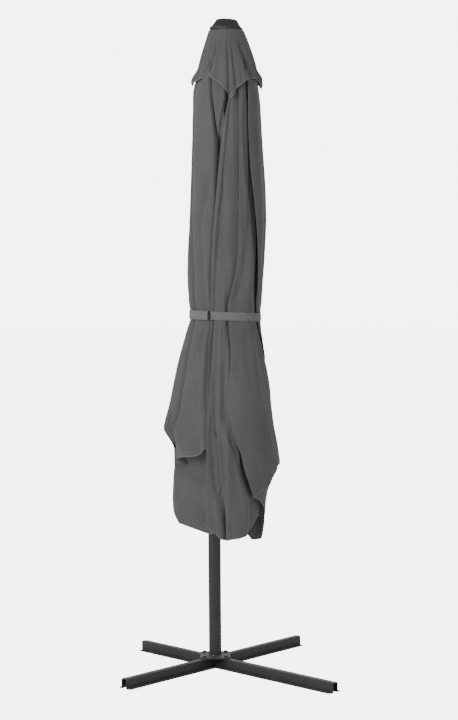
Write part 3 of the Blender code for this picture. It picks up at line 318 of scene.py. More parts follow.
make_camera()
make_stage()
SLOT_MATERIALS = {
    "base_steel": coated_steel("base_coat", shade(STEEL, 1.1)[:3], 0.48),
    "bolt_steel": coated_steel("bolt_coat", shade(STEEL, 1.3)[:3], 0.36, 0.6),
    "mast_steel": coated_steel("mast_coat", STEEL, 0.42),
    "frame_steel": coated_steel("frame_coat", shade(STEEL, 1.1)[:3], 0.42),
    "pin_steel": plated_steel("pin_zinc", (0.46, 0.46, 0.47)),
    "black_plastic": moulded_plastic("black_moulding", PLASTIC, 0.5),
    "grey_plastic": moulded_plastic("grey_moulding", (0.060, 0.061, 0.065), 0.45),
    "grip_rubber": moulded_plastic("rubber", (0.013, 0.013, 0.013), 0.75, 1400.0),
    "canopy_fabric": woven("canopy_cloth", FABRIC, FABRIC_EDGE),
    "strap_webbing": woven("strap_cloth", WEBBING, shade(WEBBING, 1.3)[:3], 0.0026, 0.25),
}


def dress_frame():
    """Give every carried-over CAD node its material, with a small bevel on the folded steel."""
    for part in frame["record"]["subparts"]:
        node = NODES[part["node"]]
        node.data.materials.clear()
        node.data.materials.append(SLOT_MATERIALS[part["material_slot"]])
    bevelled = (
        "base_bar_through", "base_bar_cross", "foot_plate", "slider_body", "crank_case", "lock_trigger",
    )
    for name in bevelled:
        bevel = NODES[name].modifiers.new("edge", "BEVEL")
        bevel.width = 0.0006
        bevel.segments = 2
        bevel.limit_method = "ANGLE"
        bevel.angle_limit = math.radians(40)
        bevel.harden_normals = False


# ---------------------------------------------------------------- curves of the fabric
def track(points):
    """A smooth curve through (height, value) points, flat beyond its ends."""
    points = sorted(points)
    heights = [p[0] for p in points]
    values = [p[1] for p in points]
    slopes = []
    for i in range(len(points)):
        a, b = max(i - 1, 0), min(i + 1, len(points) - 1)
        slopes.append((values[b] - values[a]) / (heights[b] - heights[a]))

    def value(height):
        if height <= heights[0]:
            return values[0]
        if height >= heights[-1]:
            return values[-1]
        i = next(k for k in range(len(heights) - 1) if height <= heights[k + 1])
        run = heights[i + 1] - heights[i]
        t = (height - heights[i]) / run
        return ((2 * t ** 3 - 3 * t ** 2 + 1) * values[i] + (t ** 3 - 2 * t ** 2 + t) * run * slopes[i]
                + (3 * t ** 2 - 2 * t ** 3) * values[i + 1] + (t ** 3 - t ** 2) * run * slopes[i + 1])

    return value


def ease(low, high, value):
    """0 at low, 1 at high, smooth between; low may be the larger."""
    t = min(max((value - low) / (high - low), 0.0), 1.0)
    return t * t * (3 - 2 * t)


# reach of the gathered fabric from the hub's axis, by height
LEFT = track([(2.388, 0.060), (2.344, 0.068), (2.25, 0.090), (2.17, 0.117), (2.10, 0.123),
              (1.95, 0.128), (1.80, 0.133),
              (1.69, 0.138), (1.58, 0.144), (1.468, 0.146), (1.40, 0.141), (1.345, 0.135),
              (1.29, 0.150), (1.203, 0.176),
              (1.11, 0.198), (1.025, 0.218), (0.936, 0.242), (0.90, 0.220), (0.847, 0.200), (0.757, 0.204),
              (0.65, 0.210), (0.60, 0.203), (0.56, 0.176), (0.52, 0.140)])
RIGHT = track([(2.388, 0.062), (2.344, 0.078), (2.25, 0.100), (2.17, 0.116), (2.10, 0.124),
               (1.95, 0.131), (1.80, 0.138),
               (1.69, 0.139), (1.58, 0.134), (1.468, 0.127), (1.40, 0.122), (1.345, 0.118),
               (1.28, 0.122), (1.203, 0.132),
               (1.11, 0.142), (1.025, 0.151), (0.936, 0.162), (0.847, 0.175), (0.80, 0.180), (0.757, 0.168),
               (0.68, 0.146), (0.62, 0.141), (0.57, 0.138), (0.52, 0.130)])
FRONT = track([(2.388, 0.060), (2.344, 0.072), (2.17, 0.108), (2.10, 0.116), (1.95, 0.122),
               (1.69, 0.130), (1.468, 0.130),
               (1.345, 0.120), (1.25, 0.132), (1.11, 0.150), (0.95, 0.168), (0.80, 0.172),
               (0.65, 0.156), (0.52, 0.132)])
BACK = track([(2.388, 0.058), (2.344, 0.068), (2.17, 0.098), (2.05, 0.104), (1.70, 0.106),
              (1.345, 0.103), (0.52, 0.105)])


def envelope(bearing, height):
    """Distance from the hub's axis to the gathered fabric. Bearing 0 is the front, +90 degrees the right."""
    side, ahead = math.sin(bearing), math.cos(bearing)
    across = RIGHT(height) if side > 0 else LEFT(height)
    depth = FRONT(height) if ahead > 0 else BACK(height)
    power = 2.15
    return (abs(side / across) ** power + abs(ahead / depth) ** power) ** (-1 / power)


# soft valleys that run down the folds: bearing by height, depth, width in degrees to the left and right,
# and the heights where they fade out
CREASES = (
    (track([(1.85, -32), (1.78, -36), (1.70, -45), (1.65, -47), (1.57, -43), (1.50, -41), (1.42, -38),
            (1.37, -36),
            (1.33, -38), (1.25, -43), (1.18, -44)]), 0.013, 9, 4, 1.90, 1.16),
    (track([(1.32, 4), (1.21, 7), (1.12, 10)]), 0.007, 5, 9, 1.335, 1.08),
    (track([(1.70, 36), (1.53, 27), (1.44, 18), (1.38, 10)]), 0.008, 6, 14, 1.80, 1.36),
    (track([(1.33, 28), (1.15, 34), (0.95, 46)]), 0.007, 9, 9, 1.34, 0.80),
    (track([(1.34, 52), (1.1, 62), (0.9, 66)]), 0.006, 6, 8, 1.34, 0.80),
    (track([(2.1, 72), (1.7, 76), (1.4, 78)]), 0.007, 7, 7, 2.16, 1.36),
    (track([(2.1, -42), (1.95, -46)]), 0.005, 9, 6, 2.20, 1.85),
    (track([(1.22, -50), (1.05, -47), (0.90, -44)]), 0.006, 7, 7, 1.26, 0.84),
    (track([(1.05, -34), (0.85, -36)]), 0.007, 4, 5, 1.08, 0.80),
    (track([(0.90, 4), (0.75, 10), (0.60, 14)]), 0.008, 6, 6, 0.92, 0.56),
    (track([(2.1, -86), (1.7, -84), (1.4, -80)]), 0.006, 6, 6, 2.18, 1.36),
    (track([(1.33, -85), (1.1, -86), (0.9, -90)]), 0.007, 6, 6, 1.31, 0.90),
    (track([(2.1, 128), (1.7, 132), (1.4, 132)]), 0.008, 8, 8, 2.18, 0.60),
    (track([(2.1, -128), (1.7, -126), (1.4, -124), (0.9, -128)]), 0.008, 8, 8, 2.18, 0.60),
)


def ripple(bearing, height):
    """Creases, soft swells and fine puckers, shared by every layer so that none cut through another."""
    x, y = math.sin(bearing), math.cos(bearing)
    below = ease(STRAP_Z + 0.02, STRAP_Z - 0.25, height)
    from_top = ease(HUB_TOP, HUB_TOP - 0.35, height)
    swell = noise.noise(Vector((x * 1.9, y * 1.9, height * 1.6 + 4.0)))
    pleat = 0.5 - abs(noise.noise(Vector((x * 4.3, y * 4.3, height * 1.1 + 9.0))))
    fine = 0.5 - abs(noise.noise(Vector((x * 9.0, y * 9.0, height * 3.2 + 2.0))))
    total = from_top * (0.006 * swell + 0.007 * (pleat - 0.35) + 0.002 * (fine - 0.35))
    total += below * (0.010 * swell + 0.008 * (pleat - 0.35))
    near_strap = math.exp(-((height - STRAP_Z) / 0.085) ** 2)
    pucker = 0.5 - abs(noise.noise(Vector((x * 13.0, y * 13.0, height * 1.2))))
    total += 0.007 * near_strap * (pucker - 0.45)
    for bearing_at, depth, left, right, upper, lower in CREASES:
        fade = ease(upper, upper - 0.10, height) * ease(lower, lower + 0.08, height)
        if fade > 0:
            off = math.degrees(bearing) - bearing_at(height)
            off = (off + 180) % 360 - 180
            total -= depth * fade * math.exp(-(off / (left if off < 0 else right)) ** 2)
    held = math.exp(-((height - STRAP_Z) / 0.034) ** 2)
    return total * (1 - 0.85 * held)


# Folds of the gathered fabric, from the slit's right side round the front to its left side. Each has the
# bearing of its free edge by height, how deep the next fold lies behind that edge, how many degrees that
# valley takes to come back up, the height of the hem by bearing, and the height where the hem is laid out.
FOLDS = (
    (track([(2.2, 158), (1.4, 152),
            (0.6, 150)]), track([(2.2, 0.012)] + [(0.6, 0.014)]), track([(2.2, 14), (0.6, 15)]),
     track([(150, 0.62), (175, 0.66), (195, 0.80)]), 0.62),
    (track([(2.2, 104), (1.7, 108), (1.4, 112), (0.9, 122), (0.6, 125)]), track([(2.2, 0.013),
            (0.6, 0.016)]),
     track([(2.2, 14), (0.6, 15)]), track([(122, 0.515), (145, 0.53), (165, 0.60)]), 0.57),
    (track([(2.2, 45), (2.07, 40), (1.87, 41), (1.78, 45), (1.71, 50), (1.63, 53), (1.53, 56),
            (1.45, 57), (1.38, 60),
            (1.33, 66), (1.24, 82), (1.0, 98), (0.6, 100)]),
     track([(2.3, 0.012), (2.15, 0.022), (1.85, 0.026), (1.5, 0.020), (1.36, 0.011), (1.2, 0.010),
            (0.6, 0.012)]),
     track([(2.2, 13), (1.8, 15), (1.4, 16)]),
     track([(88, 0.560), (100, 0.532), (110, 0.514), (125, 0.510), (150, 0.54)]), 0.56),
    (track([(2.2, 22), (1.9, 20), (1.64, 17), (1.53, 14), (1.44, 6), (1.38, 0), (1.32, 1), (1.21, 4),
            (1.10, 0),
            (1.00, -1), (0.95, 4), (0.89, 10), (0.86, 15), (0.80, 20), (0.75, 26), (0.69, 35)]),
     track([(2.2, 0.0055), (1.6, 0.0060), (1.42, 0.010), (1.34, 0.011), (1.22, 0.009), (1.10, 0.0075),
            (1.02, 0.010),
            (0.93, 0.022), (0.78, 0.030), (0.6, 0.030)]),
     track([(2.2, 34), (1.6, 30), (1.45, 14), (1.34, 8), (1.2, 14), (1.1, 22), (0.98, 14), (0.7, 13)]),
     track([(30, 0.690), (36, 0.700), (42, 0.708), (51, 0.714), (60, 0.726), (68, 0.765), (74, 0.797),
            (90, 0.800),
            (110, 0.760), (130, 0.72)]), 0.72),
    (track([(2.2, 9), (2.07, 6), (1.99, 3), (1.91, -1), (1.79, -5), (1.72, -9), (1.64, -12),
            (1.55, -16), (1.48, -19),
            (1.38, -22), (1.30, -24), (1.22, -25), (1.13, -22), (1.06, -19), (0.97, -16), (0.85, -12),
            (0.78, -11),
            (0.72, -9), (0.65, -5), (0.55, -4)]),
     track([(2.25, 0.008), (2.05, 0.010), (1.8, 0.013), (1.5, 0.010), (1.36, 0.009), (1.25, 0.014),
            (1.1, 0.026),
            (0.95, 0.036), (0.85, 0.038), (0.68, 0.030), (0.58, 0.016)]),
     track([(2.2, 9), (1.2, 10), (0.9, 15), (0.6, 13)]),
     track([(-9, 0.530), (-1, 0.538), (14, 0.544), (30, 0.556), (45, 0.574), (60, 0.596), (75, 0.630),
            (90, 0.68)]),
     0.56),
    (track([(2.2, 8), (2.13, 4), (2.07, -2), (1.99, -9), (1.89, -14), (1.79, -18), (1.72, -21), (1.65, -24),
            (1.55, -27), (1.45, -29), (1.36, -31), (1.24, -32), (1.17, -31), (1.06, -30), (0.97, -28),
            (0.88, -27),
            (0.73, -28), (0.59, -30)]),
     track([(2.25, 0.012), (2.12, 0.034), (1.98, 0.034), (1.88, 0.024), (1.7, 0.011), (1.5, 0.008),
            (1.3, 0.009),
            (1.1, 0.010), (0.8, 0.012), (0.6, 0.014)]),
     track([(2.2, 11), (1.9, 9), (1.6, 14), (1.2, 9), (0.6, 9)]),
     track([(-30, 0.585), (-21, 0.560), (-14, 0.542), (0, 0.535), (14, 0.545)]), 0.57),
    (track([(2.3, -34), (2.2, -29), (2.15, -26), (2.09, -22), (2.03, -18), (1.97, -14), (1.92, -12),
            (1.79, -14),
            (1.72, -17), (1.55, -23), (1.36, -27), (1.24, -28), (1.06, -26), (0.88, -23), (0.6, -26)]),
     track([(2.25, 0.012), (2.1, 0.018), (1.97, 0.032), (1.85, 0.028), (1.7, 0.021), (1.5, 0.018),
            (1.3, 0.019),
            (1.1, 0.020), (0.8, 0.026), (0.6, 0.028)]),
     track([(2.2, 9), (2.0, 8), (1.9, 12), (1.7, 9), (1.4, 7), (1.2, 8), (0.6, 9)]),
     track([(-28, 0.60), (-10, 0.62), (10, 0.66)]), 0.60),
    (track([(2.2, -70), (1.85, -68), (1.72, -66), (1.65, -62), (1.57, -60), (1.50, -57), (1.44, -58),
            (1.37, -60),
            (1.33, -61), (1.22, -62), (1.05, -60), (0.97, -60), (0.90, -67), (0.82, -84)]),
     track([(2.2, 0.009), (1.8, 0.011), (1.5, 0.018), (1.38, 0.014), (1.2, 0.016), (1.0, 0.024),
            (0.9, 0.028),
            (0.82, 0.040), (0.76, 0.070), (0.6, 0.070)]),
     track([(2.2, 12), (1.5, 10), (0.8, 14)]),
     track([(-84, 0.818), (-66, 0.830), (-58, 0.838), (-44, 0.842), (-35, 0.852), (-29, 0.872),
            (0, 0.90)]), 0.85),
    (track([(2.2, -110), (1.7, -106), (1.4, -104), (1.1, -106), (0.9, -110)]), track([(2.2, 0.013),
            (0.6, 0.018)]),
     track([(2.2, 14), (0.6, 15)]),
     track([(-112, 0.970), (-104, 0.945), (-96, 0.890), (-90, 0.850), (-87, 0.740), (-82, 0.615),
            (-68, 0.575),
            (-60, 0.552), (-48, 0.540), (-37, 0.552), (-30, 0.572), (-14, 0.60)]), 0.65),
    (track([(2.2, -150), (1.7, -150), (1.4, -148), (0.9, -150), (0.6, -152)]), track([(2.2, 0.012),
            (0.6, 0.014)]),
     track([(2.2, 14), (0.6, 15)]),
     track([(-165, 0.74), (-150, 0.60), (-130, 0.56), (-112, 0.58), (-90, 0.62)]), 0.62),
)
LEFT_FRONT = 7               # the fold whose raised hem shows the lobe behind it
POCKET = track([(0.58, -32), (0.63, -34), (0.67, -37), (0.71, -39), (0.73, -45), (0.745, -54), (0.76, -68)])
TUCK = track([(1.25, 14), (0.97, 30), (0.87, 66), (0.6, 70)])
SLIT_START = TO_MAST + math.tau
SLIT_END = TO_MAST
SLIT_HALF = 0.0175
SLIT_TOP = hanger_high.z + 0.004
HIDDEN_HEM = 0.985
RIGHT_BIG = 3                # the fold whose pleats hang down below its own hem
LOW_PLEATS = 0.535
TOP_Z = HUB_TOP + 0.004
CORE = 0.050                 # the pleats reach in to this radius
PLEATS = 4
PLEAT_STEPS = 16
ROWS = 104
HEM_BAND = 0.030             # the lowest strip, where the rows crowd
HEM_ROWS = (0.022, 0.0175, 0.012, 0.006, 0.003, 0.0)
OUTER_SHARES = [0.0, 0.04, 0.08, 0.12] + [0.12 + 0.38 * i / 10 for i in range(1, 11)] + \
               [0.5 + 0.5 * i / 12 for i in range(1, 13)]


def edge_of(fold, height):
    """Bearing of a fold's free edge."""
    if fold == len(FOLDS) - 1:
        return SLIT_END
    return math.radians(FOLDS[fold][0](height))


def root_of(fold, height):
    """Bearing where a fold begins, tucked behind the free edge of the fold before it."""
    if fold == 0:
        return SLIT_START
    tuck = TUCK(height) if fold == LEFT_FRONT + 1 else 13 + 9 * ease(1.25, 0.9, height)
    if fold == RIGHT_BIG + 1:
        tuck += 30 * ease(0.95, 0.70, height)
    return edge_of(fold - 1, height) + math.radians(tuck)


def depth_of(fold, bearing, height):
    """How far a fold's outer layer lies behind the outline."""
    if fold == 0:
        return 0.0
    step = FOLDS[fold - 1][1](height)
    width = math.radians(FOLDS[fold - 1][2](height))
    behind = edge_of(fold - 1, height)
    if fold == LEFT_FRONT + 1:
        behind += (math.radians(-57) - behind) * ease(0.82, 0.75, height)
    past_edge = behind - bearing
    depth = step * (1 - ease(0.0, width, past_edge))
    if fold == LEFT_FRONT + 1 and height < 0.80:
        line = POCKET(height)
        strip = ease(line - 1.5, line + 1.0, math.degrees(bearing))
        depth -= 0.052 * strip * ease(0.80, 0.74, height)
    return depth


def outer_bearing(fold, share, height):
    """Columns crowd where the fold comes up out of the valley."""
    root, edge = root_of(fold, height), edge_of(fold, height)
    if fold == 0:
        return root + (edge - root) * share
    start = min(edge_of(fold - 1, height), root)
    start = max(start, edge + (root - edge) * 0.35)
    rise = min(math.radians(FOLDS[fold - 1][2](height)), 0.6 * (start - edge))
    if share <= 0.12:
        return root + (start - root) * share / 0.12
    if share <= 0.5:
        return start - rise * (share - 0.12) / 0.38
    return start - rise + (edge - start + rise) * (share - 0.5) / 0.5


def fold_columns():
    """The sheet's columns in order: fold, kind of layer, and share along that layer."""
    columns = []
    for fold in range(len(FOLDS)):
        columns += [(fold, "outer", share) for share in OUTER_SHARES]
        columns += [(fold, "curl", i / 4) for i in range(1, 4)]
        columns += [(fold, "back", i / 4) for i in range(5)]
        if fold < len(FOLDS) - 1:
            columns += [(fold, "pleat", i / PLEAT_STEPS) for i in range(1, PLEAT_STEPS + 1)]
            columns += [(fold, "inner", i / 3) for i in range(1, 4)]
    return columns


def column_hem(fold, kind, share):
    """Height where a column of the sheet ends."""
    hem, laid = FOLDS[fold][3], FOLDS[fold][4]
    at_edge = hem(math.degrees(edge_of(fold, laid)))
    if kind == "outer":
        return hem(math.degrees(outer_bearing(fold, share, laid)))
    if kind == "curl":
        return at_edge
    hidden = LOW_PLEATS if fold == RIGHT_BIG else HIDDEN_HEM
    if kind == "back":
        return at_edge + (hidden - at_edge) * ease(0.0, 1.0, share) * 0.55
    if kind == "pleat":
        return at_edge + (hidden - at_edge) * (0.55 + 0.45 * share)
    following = FOLDS[fold + 1]
    next_root = following[3](math.degrees(root_of(fold + 1, following[4])))
    return hidden + (next_root - hidden) * ease(0.3, 1.0, share)


def spot(bearing, height, inward):
    """Point on the gathered fabric, or a distance inside it."""
    reach = envelope(bearing, height) + ripple(bearing, height) - inward
    return Vector((HUB.x + reach * math.sin(bearing), HUB.y - reach * math.cos(bearing), height))


def sheet_point(fold, kind, share, height):
    """Where the sheet runs at a height: over the fold, round its edge, back under it and into the pleats."""
    edge = edge_of(fold, height)
    open_out = ease(TOP_Z - 0.02, TOP_Z - 0.20, height)
    loose = 1.0 + 0.6 * ease(1.30, 0.95, height)
    last = fold == len(FOLDS) - 1
    if kind == "outer":
        bearing = outer_bearing(fold, share, height)
        crown = 0.003 * math.sin(math.pi * share) ** 2
        return spot(bearing, height, open_out * (depth_of(fold, bearing, height) - crown * loose))
    at_edge = depth_of(fold, edge, height) * open_out
    if kind == "curl":
        turn = math.pi * share
        roll = open_out * min(0.0021 * loose, 0.22 * FOLDS[fold][1](height))
        place = spot(edge, height, at_edge + roll * (1 - math.cos(turn)))
        along = Vector((-math.cos(edge), -math.sin(edge), 0))
        return place + along * roll * 1.4 * math.sin(turn)
    under = at_edge + open_out * min(0.0042 * loose, 0.5 * FOLDS[fold][1](height))
    if last:
        bearing = edge + math.radians(10) * open_out * share
        return spot(bearing, height, under)
    next_root = root_of(fold + 1, height)
    back_to = edge + (next_root - edge + math.radians(2.5)) * open_out
    if kind == "back":
        return spot(edge + (back_to - edge) * share, height, under + 0.0006 * share)
    deepest = open_out * max(FOLDS[fold][1](height), at_edge) + 0.005 * loose
    start = next_root + math.radians(3.0)
    stop = max(root_of(fold, height) - math.radians(7), start + math.radians(8))
    floor = CORE + 0.018 * ease(1.3, 0.9, height)
    if kind == "pleat":
        bearing = back_to + (start - back_to) * open_out + (stop - start) * share * open_out
        swing = 0.5 - 0.5 * math.cos(math.tau * PLEATS * share)
        if share == 1.0:
            swing = 1.0
        outer = envelope(bearing, height) + ripple(bearing, height) - deepest
        low = min(floor + 0.006 * math.sin(11 * share), outer - 0.004)
        reach = outer + (low - outer) * swing * open_out
        return Vector((HUB.x + reach * math.sin(bearing), HUB.y - reach * math.cos(bearing), height))
    from_bearing = back_to + (start - back_to) * open_out + (stop - start) * open_out
    bearing = from_bearing + (next_root - from_bearing) * min(share * 1.5, 1.0)
    ready = envelope(bearing, height) + ripple(bearing, height) - open_out * FOLDS[fold][1](height)
    inside = ready + (floor - 0.006 - ready) * open_out
    reach = inside + (ready - inside) * ease(0.5, 1.0, share)
    return Vector((HUB.x + reach * math.sin(bearing), HUB.y - reach * math.cos(bearing), height))


def part_slit(point, height):
    """Hold the fabric off the hanger and the boom where the slit runs down the back."""
    if height >= SLIT_TOP:
        return point
    to_mast = Vector((math.sin(TO_MAST), -math.cos(TO_MAST), 0))
    side = Vector((to_mast.y, -to_mast.x, 0))
    flat = Vector((point.x - HUB.x, point.y - HUB.y, 0))
    if flat.dot(to_mast) <= 0:
        return point
    off = flat.dot(side)
    half = SLIT_HALF * ease(SLIT_TOP, SLIT_TOP - 0.03, height) + 0.001
    near = 0.045
    if abs(off) < near:
        sign = 1 if off > 0 else -1
        pushed = half + (near - half) * abs(off) / near
        return point + side * (sign * pushed - off)
    return point


def add_attributes(mesh, cloth, hem):
    """Lengths along the cloth, and the distance from its hem, for the woven material."""
    layer = mesh.attributes.new("cloth", "FLOAT_VECTOR", "POINT")
    layer.data.foreach_set("vector", [value for row in cloth for value in row])
    layer = mesh.attributes.new("hem", "FLOAT", "POINT")
    layer.data.foreach_set("value", hem)


def mesh_piece(name, verts, faces, material):
    """A smooth-shaded piece in the scene, made from its points and faces."""
    mesh = bpy.data.meshes.new(name)
    mesh.from_pydata([tuple(v) for v in verts], [], faces)
    mesh.materials.append(material)
    thing = bpy.data.objects.new(name, mesh)
    bpy.context.scene.collection.objects.link(thing)
    mesh.shade_smooth()
    return thing


def grid_faces(columns, rows, ring=False):
    """Faces of a grid whose vertices are stored column by column."""
    faces = []
    for c in range(columns if ring else columns - 1):
        a, b = c * rows, ((c + 1) % columns) * rows
        for r in range(rows - 1):
            faces.append((a + r, a + r + 1, b + r + 1, b + r))
    return faces


def make_canopy():
    """The canopy as one gathered sheet, hemmed in rows that crowd at its lower edge."""
    columns = fold_columns()
    verts, cloth, hem = [], [], []
    width = 0.0
    before = None
    for fold, kind, share in columns:
        low = column_hem(fold, kind, share)
        body_rows = ROWS - len(HEM_ROWS)
        body_low = low + HEM_BAND
        heights = [TOP_Z + (body_low - TOP_Z) * i / (body_rows - 1) for i in range(body_rows)]
        heights += [low + up for up in HEM_ROWS]
        column = []
        for i, height in enumerate(heights):
            point = part_slit(sheet_point(fold, kind, share, height), height)
            column.append(point)
        middle = column[body_rows // 2]
        if before is not None:
            width += (middle - before).length
        before = middle
        for point, height in zip(column, heights):
            verts.append(point)
            cloth.append((width, height, 0.0))
            hem.append(height - low)
    fabric = SLOT_MATERIALS["canopy_fabric"]
    canopy = mesh_piece("canopy_cloth", verts, grid_faces(len(columns), ROWS), fabric)
    add_attributes(canopy.data, cloth, hem)
    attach(canopy, "canopy")
    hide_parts("canopy_panel_1", "canopy_panel_2")


# ---------------------------------------------------------------- vent tier
VENT_REACH = track([(2.379, 0.0640), (2.344, 0.0750), (2.30, 0.0880), (2.25, 0.1010), (2.20, 0.1120),
                    (2.12, 0.1210)])
VENT_HEM = track([
    (-180, 2.165), (-172, 2.160), (-160, 2.180), (-130, 2.205), (-100, 2.195), (-89, 2.176), (-80, 2.188),
    (-54, 2.199), (-40, 2.208), (-35, 2.206), (-22, 2.190), (-8, 2.168), (1, 2.142), (7, 2.126),
    (12, 2.140),
    (17, 2.160), (28, 2.178), (42, 2.198), (50, 2.200), (72, 2.196), (84, 2.180), (93, 2.162), (100, 2.170),
    (112, 2.190), (140, 2.205), (165, 2.185), (180, 2.165),
])
VENT_CREASES = (
    (track([(2.36, -8), (2.32, -12), (2.27, -25), (2.21, -41)]), 0.017, 11, 3),
    (track([(2.36, 30), (2.30, 34), (2.25, 40), (2.20, 47)]), 0.015, 3, 11),
    (track([(2.36, 2), (2.20, 4)]), 0.005, 3, 3),
    (track([(2.36, 12), (2.25, 14), (2.18, 16)]), 0.007, 3, 6),
    (track([(2.36, -30), (2.24, -18)]), 0.004, 5, 5),
    (track([(2.36, -60), (2.20, -66)]), 0.006, 8, 6),
    (track([(2.36, 66), (2.20, 70)]), 0.006, 6, 8),
    (track([(2.36, 118), (2.20, 122)]), 0.010, 8, 8),
    (track([(2.36, 152), (2.20, 150)]), 0.010, 8, 8),
    (track([(2.36, -122), (2.20, -118)]), 0.010, 8, 8),
    (track([(2.36, -150), (2.20, -148)]), 0.010, 8, 8),
)


def make_vent():
    """The small pleated tier under the cap, drawn down to a point at each corner."""
    count, rows = 360, 26
    top = HUB_TOP + 0.009
    verts, cloth, hem = [], [], []
    for c in range(count):
        degrees = 360.0 * c / count - 180
        bearing = math.radians(degrees)
        low = VENT_HEM(degrees)
        x, y = math.sin(bearing), math.cos(bearing)
        for r in range(rows):
            t = r / (rows - 1)
            height = top + (low - top) * (1 - (1 - t) ** 1.25)
            drop = ease(top, top - 0.13, height)
            small = 0.5 - abs(noise.noise(Vector((x * 8.5, y * 8.5, 33.0 + height * 1.4))))
            pleats = 0.0050 * drop * (small - 0.35)
            for bearing_at, depth, left, right in VENT_CREASES:
                off = degrees - bearing_at(height)
                off = (off + 180) % 360 - 180
                pleats -= depth * drop * math.exp(-(off / (left if off < 0 else right)) ** 2)
            corner = math.exp(-((abs(degrees) - 84) / 12) ** 2)
            flare = 0.003 * ease(low + 0.03, low, height)
            bulge = 0.013 * math.exp(-((height - low - 0.024) / 0.017) ** 2)
            flare += corner * (bulge - 0.006 * ease(low + 0.012, low, height))
            base = max(VENT_REACH(height), envelope(bearing, height) + 0.006 * drop) + 0.004 * drop
            reach = max(base + pleats, envelope(bearing, height) - 0.004 * drop) + flare
            if math.cos(bearing) < 0:
                reach = min(reach, base + 0.002)
            verts.append(Vector((HUB.x + reach * x, HUB.y - reach * y, height)))
            cloth.append((bearing * 0.4, height, 0.0))
            hem.append((height - low) * 0.8)
    fabric = SLOT_MATERIALS["canopy_fabric"]
    vent = mesh_piece("vent_cloth", verts, grid_faces(count, rows, ring=True), fabric)
    add_attributes(vent.data, cloth, hem)
    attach(vent, "canopy")
    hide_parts("canopy_vent")


# ---------------------------------------------------------------- strap
BUCKLE_BEARING = -32
STRAP_THICK = 0.0013
BUCKLE_OFF = 0.0066          # the buckle and the tail stand this far off the fabric


def strap_height(bearing):
    """The strap lies a little lower towards the right."""
    return STRAP_Z + 0.001 - 0.0060 * math.sin(bearing)


def band(name, start, stop, off, tall, count, material):
    """A strip of webbing lying on the gathered fabric between two bearings, in degrees."""
    rows = 7
    verts, cloth, hem = [], [], []
    length = 0.0
    before = None
    for c in range(count + 1):
        bearing = math.radians(start + (stop - start) * c / count)
        middle = strap_height(bearing)
        reach = envelope(bearing, middle) + off + 0.0008 * noise.noise(Vector((bearing * 3, off * 400, 0)))
        x, y = HUB.x + reach * math.sin(bearing), HUB.y - reach * math.cos(bearing)
        if before is not None:
            length += math.hypot(x - before[0], y - before[1])
        before = (x, y)
        for r in range(rows):
            share = r / (rows - 1) - 0.5
            bow = -0.0012 * (2 * share) ** 2
            height = middle + share * tall
            verts.append(Vector((x + bow * math.sin(bearing), y - bow * math.cos(bearing), height)))
            cloth.append((length, share * tall, 0.0))
            hem.append((0.5 - abs(share)) * tall + 0.0025)
    strip = mesh_piece(name, verts, grid_faces(count + 1, rows), material)
    add_attributes(strip.data, cloth, hem)
    thick = strip.modifiers.new("thickness", "SOLIDIFY")
    thick.thickness = STRAP_THICK
    thick.offset = 1.0
    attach(strip, "canopy")
    return strip


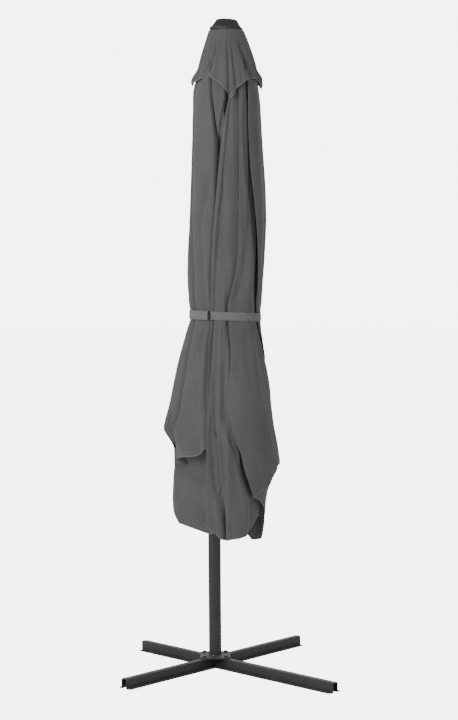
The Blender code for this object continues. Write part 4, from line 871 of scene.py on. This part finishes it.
def make_strap():
    """Webbing loop, its free tail and the ladder buckle that both pass through."""
    webbing = SLOT_MATERIALS["strap_webbing"]
    main = band("strap_loop", BUCKLE_BEARING + 1.5, BUCKLE_BEARING + 358.5, 0.0042, 0.0305, 150, webbing)
    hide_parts("canopy_strap")
    band("strap_tail", BUCKLE_BEARING - 2.0, BUCKLE_BEARING - 84, BUCKLE_OFF, 0.0330, 40, webbing)
    bearing = math.radians(BUCKLE_BEARING)
    middle = strap_height(bearing)
    reach = envelope(bearing, middle) + BUCKLE_OFF
    bm = bmesh.new()
    outer_u, outer_v, bar = 0.0062, 0.0205, 0.0019
    ring = []
    for u, v in ((outer_u, outer_v), (-outer_u, outer_v), (-outer_u, -outer_v), (outer_u, -outer_v)):
        section = []
        for i in range(8):
            angle = math.tau * i / 8
            inset = bar * math.cos(angle)
            place = (u - math.copysign(inset, u), bar * math.sin(angle), v - math.copysign(inset, v))
            section.append(bm.verts.new(place))
        ring.append(section)
    for a, b in zip(ring, ring[1:] + ring[:1]):
        for i in range(8):
            j = (i + 1) % 8
            bm.faces.new((a[i], a[j], b[j], b[i]))
    bmesh.ops.recalc_face_normals(bm, faces=bm.faces)
    mesh = bpy.data.meshes.new("strap_buckle")
    bm.to_mesh(mesh)
    bm.free()
    mesh.materials.append(SLOT_MATERIALS["black_plastic"])
    mesh.shade_smooth()
    buckle = bpy.data.objects.new("strap_buckle", mesh)
    bpy.context.scene.collection.objects.link(buckle)
    round_off = buckle.modifiers.new("round", "SUBSURF")
    round_off.levels = 1
    round_off.render_levels = 1
    buckle.location = (HUB.x + reach * math.sin(bearing), HUB.y - reach * math.cos(bearing), middle)
    buckle.rotation_euler = (0, 0, bearing)
    bpy.context.view_layer.update()
    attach(buckle, "canopy")


# ---------------------------------------------------------------- cap
FLUTES = 40
FLUTE_DEPTH = 0.0011
CAP_TILT = math.radians(3.0)


def make_cap():
    """Stepped cap with flutes round its skirt and a dished top."""
    rim_low = HUB_TOP + 0.009
    slope = (CAP_TOP - 0.0045 - rim_low - 0.0135) / 3
    profile = [
        (0.0550, rim_low + 0.002), (0.0588, rim_low), (0.0606, rim_low + 0.0012),
        (0.0606, rim_low + 0.0105),
        (0.0592, rim_low + 0.0125), (0.0550, rim_low + 0.0135), (0.0505, rim_low + 0.0135 + slope),
        (0.0490, rim_low + 0.0140 + slope), (0.0455, rim_low + 0.0135 + 2 * slope),
        (0.0440, rim_low + 0.0140 + 2 * slope), (0.0400, CAP_TOP - 0.0045), (0.0384, CAP_TOP - 0.0018),
        (0.0355, CAP_TOP - 0.0002), (0.0300, CAP_TOP - 0.0008), (0.0150, CAP_TOP - 0.0014),
        (0.0020, CAP_TOP - 0.0016),
    ]
    count = FLUTES * 6
    verts = []
    for c in range(count):
        angle = math.tau * c / count
        groove = 0.5 + 0.5 * math.cos(FLUTES * angle)
        for radius, height in profile:
            skirt = 1.0 if 0.0380 < radius < 0.0610 and height > rim_low else 0.0
            deep = FLUTE_DEPTH * skirt * groove ** 2
            out = radius - deep
            verts.append(Vector((out * math.cos(angle), out * math.sin(angle), height)))
    faces = grid_faces(count, len(profile), ring=True)
    faces.append(tuple(c * len(profile) + len(profile) - 1 for c in range(count)))
    cap = mesh_piece("cap_fluted", verts, faces, SLOT_MATERIALS["black_plastic"])
    cap.data.set_sharp_from_angle(angle=math.radians(50))
    cap.location = HUB
    base = Matrix.Translation(Vector((0, 0, HUB_TOP)))
    cap.data.transform(base @ Matrix.Rotation(CAP_TILT, 4, "Y") @ base.inverted())
    bpy.context.view_layer.update()
    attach(cap, "canopy")
    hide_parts("crown_cap")


dress_frame()
make_canopy()
make_vent()
make_strap()
make_cap()

bpy.context.view_layer.update()
